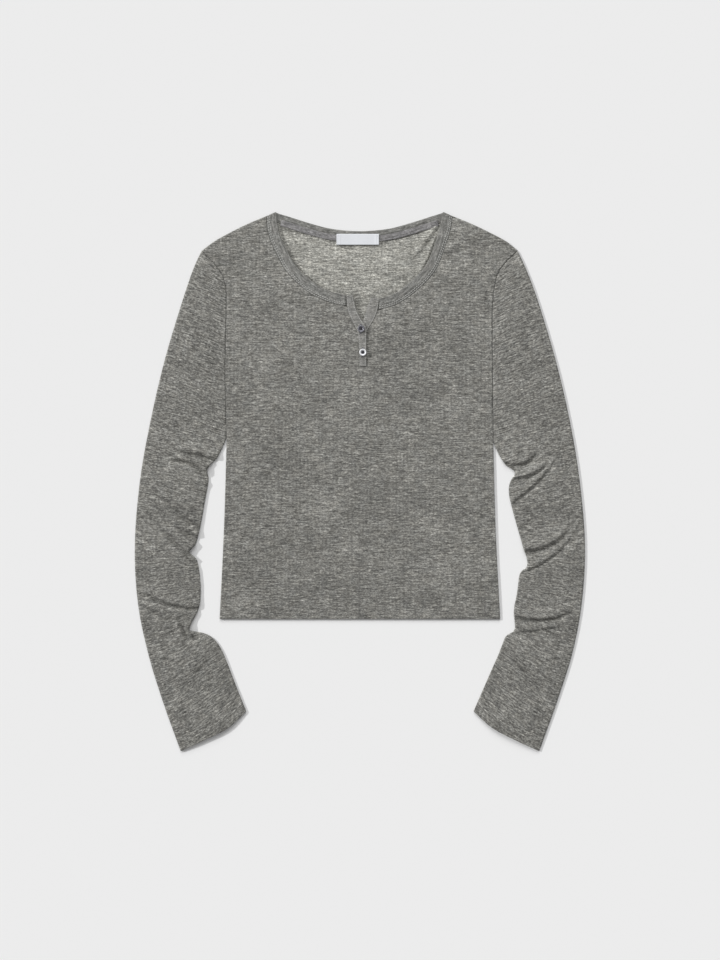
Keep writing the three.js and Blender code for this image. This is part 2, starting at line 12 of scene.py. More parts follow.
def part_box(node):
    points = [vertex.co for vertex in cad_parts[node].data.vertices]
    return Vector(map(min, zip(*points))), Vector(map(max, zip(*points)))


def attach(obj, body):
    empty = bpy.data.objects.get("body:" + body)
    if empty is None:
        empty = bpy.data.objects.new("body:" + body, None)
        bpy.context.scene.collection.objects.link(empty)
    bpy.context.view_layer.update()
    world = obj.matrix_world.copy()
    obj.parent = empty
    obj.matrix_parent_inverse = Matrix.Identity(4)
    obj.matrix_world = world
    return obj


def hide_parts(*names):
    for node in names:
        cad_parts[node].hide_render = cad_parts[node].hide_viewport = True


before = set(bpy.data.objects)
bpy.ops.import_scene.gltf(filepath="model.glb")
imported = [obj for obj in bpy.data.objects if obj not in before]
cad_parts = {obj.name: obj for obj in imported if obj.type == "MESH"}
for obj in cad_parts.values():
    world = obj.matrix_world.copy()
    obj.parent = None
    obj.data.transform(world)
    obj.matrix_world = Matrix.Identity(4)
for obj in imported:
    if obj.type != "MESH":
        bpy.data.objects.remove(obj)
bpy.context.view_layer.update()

# The table: matt pale card under an even light, with a broad soft light beyond the neck and one lamp
# low at the upper left, whose small disc gives the crisp grey shadow along the right-hand edges. The
# camera hangs straight over the shirt, far enough up to see it without perspective.
MM = 0.001
PICTURE_HEIGHT = 1248 * MM                   # what the photograph's long side covers on the table
LENS = 90
SENSOR = 36
CARD = (0.90, 0.90, 0.90)
EVEN_LIGHT = 0.357
LAMPS = {
    "lamp": {"power": 1.99, "across": (0.92, -0.38), "elevation": 27, "disc": 1.8},
    "soft_light": {"power": 1.60, "across": (0.1, -0.995), "elevation": 34, "disc": 40},
}

table_mesh = bmesh.new()
bmesh.ops.create_grid(table_mesh, x_segments=8, y_segments=8, size=12)
table_data = bpy.data.meshes.new("table_card")
table_mesh.to_mesh(table_data)
table_mesh.free()
table = bpy.data.objects.new("table_card", table_data)
bpy.context.scene.collection.objects.link(table)
card = bpy.data.materials.new("pale_card")
card.use_nodes = True
card.node_tree.nodes["Principled BSDF"].inputs["Base Color"].default_value = (*CARD, 1)
card.node_tree.nodes["Principled BSDF"].inputs["Roughness"].default_value = 1.0
card.node_tree.nodes["Principled BSDF"].inputs["Specular IOR Level"].default_value = 0.0
table_data.materials.append(card)

room = bpy.data.worlds.new("even_light")
room.use_nodes = True
room.node_tree.nodes["Background"].inputs["Color"].default_value = (EVEN_LIGHT, EVEN_LIGHT, EVEN_LIGHT, 1)
bpy.context.scene.world = room
bpy.context.scene.view_settings.view_transform = "Standard"

for light_name, light in LAMPS.items():
    lamp_data = bpy.data.lights.new(light_name, "SUN")
    lamp_data.energy = light["power"]
    lamp_data.angle = math.radians(light["disc"])
    lamp = bpy.data.objects.new(light_name, lamp_data)
    bpy.context.scene.collection.objects.link(lamp)
    rise = math.radians(light["elevation"])
    beam = Vector((*(math.cos(rise) * c for c in light["across"]), -math.sin(rise)))
    lamp.rotation_euler = beam.to_track_quat("-Z", "Y").to_euler()

camera_data = bpy.data.cameras.new("camera")
camera_data.lens = LENS
camera_data.sensor_width = SENSOR
camera = bpy.data.objects.new("camera", camera_data)
camera.location = (0.15 * MM, 2.0 * MM, PICTURE_HEIGHT * LENS / SENSOR + 3 * MM)
bpy.context.scene.collection.objects.link(camera)
bpy.context.scene.camera = camera

# Back panel: one layer of rib jersey lying on the table, cut with a shallow neck. Its wrong side,
# which shows in the neck opening, is paler than the face: partly the jersey's own wrong side, partly
# painted light, the pale card showing through the single thin layer. Both body panels share these
# side edges. It is creased where the front's neck edge draws it in.
CLOTH = 1.2                 # wall of the jersey
SEAM_GAP = 0.3              # clearance between neighbouring pieces
STITCHED_GAP = 0.12         # the same where a stretched seam closes it up
RIB_PITCH = 4.8
RIB_RISE = 0.2
HALF_CHEST = 174
HEM_HEIGHT = -178.8
BAND_WIDTH = 14.0
EDGE_ROLL = 1.2             # how far in from a folded or sewn edge the cloth rounds over
BORDERS = (0.3, 0.6, 1.0)   # widths of the narrow rows of faces that follow an edge
CREASE_LIMIT = 4.4          # heaped creases level off towards this height
HOLLOW_SHARE = 0.36         # how deep the hollow beside a steep flank is, of its ridge's height

BODY_LEFT = [
    (-182.4, HEM_HEIGHT, "corner"), (-176.8, -62.7), (-173.2, 56.9, "corner"), (-175.0, 142.7),
    (-173.4, 236.3), (-176.5, 262.8), (-186.2, 279.8), (-205.7, 300.0, "corner"), (-186.2, 314.3),
    (-150.0, 333.2), (-119.8, 345.9),
]
BODY_RIGHT = [
    (182.4, HEM_HEIGHT, "corner"), (176.4, -62.7), (173.4, 51.7, "corner"), (172.4, 142.7),
    (172.3, 226.8), (177.6, 265.5), (188.0, 283.5), (205.1, 300.0, "corner"), (186.9, 314.3),
    (150.0, 333.0), (118.9, 345.9),
]
BACK_NECK = [
    (-108.6, 349.36), (-92.6, 344.6), (-64.0, 335.6), (-36.0, 328.6), (-0.3, 325.6),
    (36.0, 328.6), (63.6, 335.6), (92.0, 344.6), (107.6, 349.36),
]
FRONT_NECK = {
    "left": [
        (-108.6, 349.36), (-105.6, 326.0), (-98.4, 307.8), (-83.5, 280.5), (-60.1, 258.4),
        (-38.0, 247.2), (-17.9, 242.6),
    ],
    "right": [
        (107.6, 349.36), (105.0, 334.4), (100.5, 318.2), (86.2, 281.8), (62.8, 257.1),
        (42.0, 243.0), (25.9, 238.2),
    ],
}
SHOULDER_SLOPE = {"left": np.array((-0.915, -0.403)), "right": np.array((0.915, -0.403))}
NECK_POINT = {"left": np.array((-108.6, 349.36)), "right": np.array((107.6, 349.36))}


def line_through(rows, per_span=6):
    """A smooth line through rows of (x, y), broken at each row that says corner."""
    line, run = [], []
    for number, row in enumerate(rows):
        run.append(row[:2])
        at_end = number == len(rows) - 1
        if (len(row) > 2 or at_end) and len(run) > 1:
            knots = np.array([run[0], *run, run[-1]], float)
            for a, b, c, d in zip(knots, knots[1:], knots[2:], knots[3:]):
                for t in np.arange(per_span) / per_span:
                    bend = (c - a) * t + (2 * a - 5 * b + 4 * c - d) * t**2 + (3 * b - a - 3 * c + d) * t**3
                    line.append(b + bend / 2)
            run = [run[-1]]
    return np.array([*line, rows[-1][:2]])


def beside(line, distance):
    """The same line moved sideways, to its left for a positive distance."""
    along = np.gradient(line, axis=0)
    along /= np.linalg.norm(along, axis=1, keepdims=True)
    return line + np.stack([-along[:, 1], along[:, 0]], 1) * distance


def distance_to(line, points):
    nearest = np.full(len(points), np.inf)
    for start, end in zip(line[:-1], line[1:]):
        span = end - start
        share = np.clip((points - start) @ span / max(span @ span, 1e-12), 0, 1)
        nearest = np.minimum(nearest, np.linalg.norm(points - start - share[:, None] * span, axis=1))
    return nearest


def smooth(low, high, value):
    t = np.clip((value - low) / (high - low), 0, 1)
    return t * t * (3 - 2 * t)


def rolled(distance, radius):
    """A quarter-round profile: 0 at an edge, 1 from the radius inwards."""
    return np.sqrt(1 - (1 - np.clip(distance / radius, 0, 1)) ** 2)


def fold_height(folds, x, y):
    """What the creases of a table add: each is a bowed ridge or trough, its two flanks of their own
    widths, at its fullest where it starts and fading towards its far end. A steeper flank ends in a
    small hollow, where the cloth is drawn in under the fold."""
    total = np.zeros_like(x)
    for (x0, y0), (x1, y1), bow, left, right, height in folds:
        span = np.array((x1 - x0, y1 - y0))
        size = np.linalg.norm(span)
        along = ((x - x0) * span[0] + (y - y0) * span[1]) / size**2
        t = np.clip(along, 0, 1)
        aside = (span[0] * (y - y0) - span[1] * (x - x0)) / size - bow * 4 * t * (1 - t)
        past = (along - t) * size
        fullness = height * np.cos(t * np.pi / 2) ** 0.7 * np.exp(-((past / max(left, right)) ** 2))
        total += fullness * np.exp(-((aside / np.where(aside > 0, left, right)) ** 2))
        steep = min(left, right)
        if left != right:
            reach = aside if left < right else -aside
            total -= HOLLOW_SHARE * fullness * np.exp(-(((reach - 2.3 * steep) / steep) ** 2))
    return CREASE_LIMIT * np.tanh(total / CREASE_LIMIT)


def rib(across):
    return RIB_RISE * (0.5 - 0.5 * np.cos(2 * np.pi * across / RIB_PITCH))


def cut_cloth(outline, columns, rows):
    """A flat piece of that outline, bordered with narrow rows along its edge, then cut into small
    faces along its wales and courses."""
    bm = bmesh.new()
    face = bm.faces.new([bm.verts.new((x * MM, y * MM, 0)) for x, y in outline])
    for border in BORDERS:
        bmesh.ops.inset_region(
            bm, faces=[face], thickness=border * MM, use_even_offset=True, use_boundary=True)
    for axis, places in ((0, columns), (1, rows)):
        across = Vector((1, 0, 0)) if axis == 0 else Vector((0, 1, 0))
        uncut = bm.edges[:] + bm.faces[:]
        for place in places:
            cut = bmesh.ops.bisect_plane(
                bm, geom=uncut, dist=1e-7, plane_co=across * float(place) * MM, plane_no=across)
            uncut = [part for part in cut["geom"] if not isinstance(part, bmesh.types.BMVert)
                     and max(v.co[axis] for v in part.verts) > place * MM + 1e-7]
    bmesh.ops.remove_doubles(bm, verts=bm.verts, dist=1e-6)
    return bm


def give_wall(bm, upper, lower):
    """Makes the flat piece a closed one: the heights of its two faces are functions of the plan."""
    flat = bm.verts[:]
    made = bmesh.ops.extrude_face_region(bm, geom=bm.faces[:], use_keep_orig=True)["geom"]
    raised = [part for part in made if isinstance(part, bmesh.types.BMVert)]
    for verts, height in ((raised, upper), (flat, lower)):
        plan = np.array([v.co[:2] for v in verts]) / MM
        for vert, z in zip(verts, height(plan)):
            vert.co.z = z * MM
    bmesh.ops.recalc_face_normals(bm, faces=bm.faces)
    return [part for part in made if isinstance(part, bmesh.types.BMFace)]


def piece(name, bm, materials):
    """Finishes a mesh as a piece of the shirt: smooth-shaded, riding on its one body."""
    data = bpy.data.meshes.new(name)
    bm.to_mesh(data)
    bm.free()
    data.polygons.foreach_set("use_smooth", [True] * len(data.polygons))
    for material in materials:
        data.materials.append(material)
    made = bpy.data.objects.new(name, data)
    bpy.context.scene.collection.objects.link(made)
    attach(made, "root")
    return made


def tone(red, green, blue):
    """A colour read off the cloth, 0 to 255, as the light it reflects."""
    share = [c / 255 for c in (red, green, blue)]
    return tuple(c / 12.92 if c <= 0.04045 else ((c + 0.055) / 1.055) ** 2.4 for c in share)


def heather(name, warm, cool, contrast, coordinates="Object", wales=True, paler=(0.0, 0.0)):
    """Melange rib jersey: short darker and lighter dashes of yarn run across the wales, over soft
    clouds, with a fine loopy surface; the valleys between the wales are darkened a little with painted
    shade. Paler is how much the cloth lightens for each metre along its wales, and its level at their start."""
    material = bpy.data.materials.new(name)
    material.use_nodes = True
    tree = material.node_tree
    skin = tree.nodes["Principled BSDF"]
    place = tree.nodes.new("ShaderNodeTexCoord")
    dashes = (                       # length along the course, height, strength, detail
        (13.0, 1.9, 0.85, 2.0),
        (6.5, 1.5, 0.85, 3.0),
        (2.2, 1.2, 1.15, 2.0),
        (70.0, 38.0, 0.22, 1.0),
    )
    total = None
    for number, (length, height, strength, detail) in enumerate(dashes):
        stretch = tree.nodes.new("ShaderNodeMapping")
        stretch.inputs["Scale"].default_value = (1 / (length * MM), 1 / (height * MM), 1 / (3 * MM))
        stretch.inputs["Location"].default_value = (number * 7.3, number * 3.1, number * 1.7)
        noise = tree.nodes.new("ShaderNodeTexNoise")
        noise.inputs["Scale"].default_value = 1.0
        noise.inputs["Detail"].default_value = detail
        noise.inputs["Roughness"].default_value = 0.6
        noise.inputs["Distortion"].default_value = 0.25
        weigh = tree.nodes.new("ShaderNodeMath")
        weigh.operation = "MULTIPLY_ADD"
        weigh.inputs[1].default_value = strength * contrast
        weigh.inputs[2].default_value = -0.5 * strength * contrast
        tree.links.new(place.outputs[coordinates], stretch.inputs["Vector"])
        tree.links.new(stretch.outputs["Vector"], noise.inputs["Vector"])
        tree.links.new(noise.outputs["Fac"], weigh.inputs[0])
        if total is None:
            total = weigh
        else:
            joined = tree.nodes.new("ShaderNodeMath")
            tree.links.new(total.outputs[0], joined.inputs[0])
            tree.links.new(weigh.outputs[0], joined.inputs[1])
            total = joined
    split = tree.nodes.new("ShaderNodeSeparateXYZ")
    tree.links.new(place.outputs[coordinates], split.inputs[0])
    if paler[0]:
        lighten = tree.nodes.new("ShaderNodeMath")
        lighten.operation = "MULTIPLY_ADD"
        lighten.inputs[1].default_value = paler[0]
        lifted = tree.nodes.new("ShaderNodeMath")
        lifted.inputs[1].default_value = paler[1]
        tree.links.new(split.outputs["Y"], lighten.inputs[0])
        tree.links.new(total.outputs[0], lighten.inputs[2])
        tree.links.new(lighten.outputs[0], lifted.inputs[0])
        total = lifted
    # Painted shade: the valleys between the wales are made a little darker.
    if wales:
        turn = tree.nodes.new("ShaderNodeMath")
        turn.operation = "MULTIPLY"
        turn.inputs[1].default_value = 2 * math.pi / (RIB_PITCH * MM)
        wave = tree.nodes.new("ShaderNodeMath")
        wave.operation = "COSINE"
        valley_shade = tree.nodes.new("ShaderNodeMath")
        valley_shade.operation = "MULTIPLY_ADD"
        valley_shade.inputs[1].default_value = -0.03
        tree.links.new(split.outputs["X"], turn.inputs[0])
        tree.links.new(turn.outputs[0], wave.inputs[0])
        tree.links.new(wave.outputs[0], valley_shade.inputs[0])
        tree.links.new(total.outputs[0], valley_shade.inputs[2])
        total = valley_shade
    level = tree.nodes.new("ShaderNodeMath")
    level.operation = "EXPONENT"
    hue = tree.nodes.new("ShaderNodeTexNoise")
    hue.inputs["Scale"].default_value = 1 / (9 * MM)
    hue.inputs["Detail"].default_value = 1.0
    blend = tree.nodes.new("ShaderNodeMix")
    blend.data_type = "RGBA"
    blend.inputs["A"].default_value = (*tone(*warm), 1)
    blend.inputs["B"].default_value = (*tone(*cool), 1)
    shade = tree.nodes.new("ShaderNodeVectorMath")
    shade.operation = "SCALE"
    tree.links.new(place.outputs[coordinates], hue.inputs["Vector"])
    tree.links.new(hue.outputs["Fac"], blend.inputs["Factor"])
    tree.links.new(total.outputs[0], level.inputs[0])
    tree.links.new(blend.outputs["Result"], shade.inputs[0])
    tree.links.new(level.outputs[0], shade.inputs["Scale"])
    tree.links.new(shade.outputs["Vector"], skin.inputs["Base Color"])
    grain = tree.nodes.new("ShaderNodeBump")
    grain.inputs["Strength"].default_value = 0.5
    grain.inputs["Distance"].default_value = 0.3 * MM
    tree.links.new(level.outputs[0], grain.inputs["Height"])
    tree.links.new(grain.outputs["Normal"], skin.inputs["Normal"])
    skin.inputs["Roughness"].default_value = 0.95
    skin.inputs["Specular IOR Level"].default_value = 0.2
    skin.inputs["Sheen Weight"].default_value = 0.08
    skin.inputs["Sheen Roughness"].default_value = 0.6
    return material


FACE_WARM, FACE_COOL = (127, 125, 119), (123, 123, 120)
# The wrong side's paler colours: its own wrong side, plus painted light of the pale card showing through the
# thin jersey.
WRONG_LIT_THROUGH_WARM, WRONG_LIT_THROUGH_COOL = (160, 158, 150), (155, 155, 150)
face_jersey = heather("heather_face", FACE_WARM, FACE_COOL, 2.7, paler=(0.28, 0.0))
wrong_lit_through_jersey = heather("heather_wrong_side_lit_through", WRONG_LIT_THROUGH_WARM, WRONG_LIT_THROUGH_COOL, 2.7)

body_left = line_through(BODY_LEFT)
body_right = line_through(BODY_RIGHT)
back_free = line_through(BACK_NECK)
turn = np.minimum(np.arange(len(back_free)), np.arange(len(back_free))[::-1])
swing = np.array([SHOULDER_SLOPE["left" if p[0] < 0 else "right"] for p in back_free]) * BAND_WIDTH
squared = beside(back_free, -BAND_WIDTH) - back_free - swing
back_sewn = back_free + swing + squared * smooth(0, 8, turn)[:, None]
back_hole = beside(back_sewn, -STITCHED_GAP)
for end, side in ((0, "left"), (-1, "right")):
    back_hole[end] = NECK_POINT[side] + SHOULDER_SLOPE[side] * (BAND_WIDTH + STITCHED_GAP)
back_edge = np.vstack([body_left, back_hole, body_right[::-1]])
front_free = {side: line_through(rows) for side, rows in FRONT_NECK.items()}

BACK_FOLDS = [              # from, to, bow, width of its left and of its right flank, height
    ((98, 331), (62, 281), 0, 2.6, 5.0, 1.9),
    ((98.5, 316), (74, 264), 2, 1.5, 3.0, 1.9),
    ((-92, 320), (-68, 285), 0, 2.2, 4.5, 1.5),
    ((40, 262), (8, 244), 3, 5.0, 4.0, 0.5),
]
HIDDEN_CREASES = [
    ((-120, -150), (-40, -96), 6, 9.0, 5.0, 0.34),
    ((96, -128), (150, -40), -5, 6.0, 10.0, 0.32),
    ((-150, 60), (-96, 128), 4, 5.0, 8.0, 0.36),
    ((60, 40), (128, 96), -7, 9.0, 6.0, 0.3),
    ((-30, 180), (44, 214), 5, 7.0, 5.0, 0.32),
    ((-160, -20), (-110, -44), 2, 5.0, 5.0, 0.3),
]
BACK_COLUMNS = np.concatenate([
    np.arange(-38, -23) * RIB_PITCH, np.arange(-92, 93) * RIB_PITCH / 4, np.arange(24, 39) * RIB_PITCH])
BACK_ROWS = np.concatenate([np.arange(-170, 232, 14), np.arange(232, 350, 1.5)])


def inside_neck(x, y):
    """How far a point lies inside the front's neck edge, measured across, less than 0 outside it."""
    low, high = (
        np.interp(y, front_free[side][::-1, 1], front_free[side][::-1, 0]) for side in ("left", "right"))
    return np.minimum(x - low, high - x)


def back_upper(plan):
    x, y = plan[:, 0], plan[:, 1]
    inside = inside_neck(x, y)
    from_front = np.minimum(distance_to(front_free["left"], plan), distance_to(front_free["right"], plan))
    from_front = np.where(inside > 0, from_front, -from_front)
    pressed_in = 0.5 * np.exp(-((from_front - 0.5) ** 2))
    creases = fold_height(BACK_FOLDS, x, y) * smooth(0, 4, inside)
    relief = np.maximum(rib(x) + creases - pressed_in, -0.55)
    return CLOTH - 0.3 + relief * rolled(distance_to(back_edge, plan), 1.2)


def back_lower(plan):
    inland = distance_to(back_edge, plan)
    creases = fold_height(HIDDEN_CREASES, plan[:, 0], plan[:, 1]) * smooth(2, 14, inland)
    drawn_up = np.clip(creases, 0, 0.4) * (1 - smooth(226, 240, plan[:, 1]))
    return 0.75 * (1 - rolled(inland, 1.9)) + drawn_up


back_mesh = cut_cloth(back_edge, BACK_COLUMNS, BACK_ROWS)
for upper_face in give_wall(back_mesh, back_upper, back_lower):
    upper_face.material_index = 1
back = piece("back_panel", back_mesh, [face_jersey, wrong_lit_through_jersey])
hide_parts("back")

# Front panel: the same jersey face up, cut by the wide scooped neck and by the slit of the placket.
# It is joined to the back along the shoulders and sides and lies on it in low soft folds.
FRONT_UNDER = CLOTH + SEAM_GAP
BODY_CROWN = 1.2
BAND_END = {"left": (-16.9, 228.6), "right": (24.4, 224.2)}
PLACKET_TOP = [             # free edge, sewn edge
    ((-8.8, 242.4), (-17.5, 242.4)), ((-4.8, 224.6), (-15.9, 222.6)), ((1.0, 212.2), (-11.2, 210.3)),
    ((8.4, 200.2), (-4.6, 197.3)), ((8.8, 186.9), (-2.0, 186.9)), ((8.4, 149.8), (-0.6, 149.8)),
]
PLACKET_UNDER = [
    ((14.7, 239.4), (25.5, 237.8)), ((9.8, 228.0), (23.0, 222.0)), ((6.0, 214.0), (17.6, 209.0)),
    ((1.0, 202.0), (11.6, 199.0)), ((-0.4, 186.0), (7.4, 186.0)), ((0.6, 152.6), (7.4, 152.6)),
]
THROAT_TOP, THROAT_FOOT = 227, 209
FRONT_FOLDS = [
    ((114, 300), (176, 318), 8, 7.0, 4.0, 1.2),
    ((-70, -60), (-96, -134), 3, 9.0, 6.0, 1.0),
    ((-146, 40), (-164, -36), -3, 10.0, 6.0, 1.0),
    ((160, 252), (158, 190), 2, 5.0, 7.0, 1.0),
    ((14, 112), (16, 70), 0, 8.0, 6.0, 0.6),
    ((146, 20), (164, -90), 3, 8.0, 10.0, 0.8),
    ((-150, 92), (-144, 60), 2, 5.0, 7.0, 0.6),
]
SHOULDER_SEAM = [((-205, 297), (-124, 339), 1, 1.1, 1.1, -0.45)]


def front_inside(x, y):
    """Height of the front's wrong side: close to the back round its edges, a soft crown between."""
    from_side = HALF_CHEST - np.abs(x)
    from_shoulder = 350 - np.maximum(0, np.abs(x) - 108) * 0.52 - y
    crown = smooth(0, 60, from_side) * smooth(0, 60, y - HEM_HEIGHT) * smooth(0, 50, from_shoulder)
    return FRONT_UNDER + crown * BODY_CROWN + smooth(0, 14, from_side) * fold_height(FRONT_FOLDS, x, y)


def front_sewn(side):
    """Where the neck binding is sewn to the front, from the shoulder to the placket."""
    free = front_free[side]
    swung = free + SHOULDER_SLOPE[side] * BAND_WIDTH
    square = beside(free, -BAND_WIDTH if side == "left" else BAND_WIDTH)
    line = swung + (square - swung) * smooth(0, 8, np.arange(len(free)))[:, None]
    line[-1] = BAND_END[side]
    return line


def front_hole(side):
    """The front's own edge there, just clear of the binding."""
    line = beside(front_sewn(side), -STITCHED_GAP if side == "left" else STITCHED_GAP)
    line[0] = NECK_POINT[side] + SHOULDER_SLOPE[side] * (BAND_WIDTH + STITCHED_GAP)
    return line[:-1]


def strip_edge(strip, which):
    return line_through([row[which] for row in strip])


under_free = beside(strip_edge(PLACKET_UNDER, 0), -SEAM_GAP)
under_sewn = beside(strip_edge(PLACKET_UNDER, 1), STITCHED_GAP)
throat_left = strip_edge(PLACKET_TOP, 0)
front_edge = np.vstack([
    body_left,
    front_hole("left"),
    throat_left[(throat_left[:, 1] < THROAT_TOP) & (throat_left[:, 1] > THROAT_FOOT)],
    under_free[under_free[:, 1] < THROAT_FOOT - 1],
    under_sewn[under_sewn[:, 1] < BAND_END["right"][1] - 2][::-1],
    front_hole("right")[::-1],
    body_right[::-1],
])
RIB_COLUMNS = np.arange(-171, 172) * RIB_PITCH / 4
FRONT_ROWS = np.concatenate([np.arange(-174, 292, 5), np.arange(294, 346, 2)])


def front_upper(plan):
    x, y = plan[:, 0], plan[:, 1]
    from_band = np.minimum(distance_to(front_hole("left"), plan), distance_to(front_hole("right"), plan))
    roll = 0.3 + (EDGE_ROLL - 0.3) * smooth(0.5, 3, from_band)
    edge = 0.25 + 0.4 * (1 - smooth(0.5, 3, from_band))
    proud = CLOTH - 0.3 + rib(x) + fold_height(SHOULDER_SEAM, x, y)
    return front_inside(x, y) + edge + (proud - edge) * rolled(distance_to(front_edge, plan), roll)


def front_lower(plan):
    return front_inside(plan[:, 0], plan[:, 1])


front_mesh = cut_cloth(front_edge, RIB_COLUMNS, FRONT_ROWS)
front_faces = set(give_wall(front_mesh, front_upper, front_lower))
for other_face in front_mesh.faces:
    other_face.material_index = 0 if other_face in front_faces else 1
front = piece("front_panel", front_mesh, [face_jersey, wrong_lit_through_jersey])
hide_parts("front")

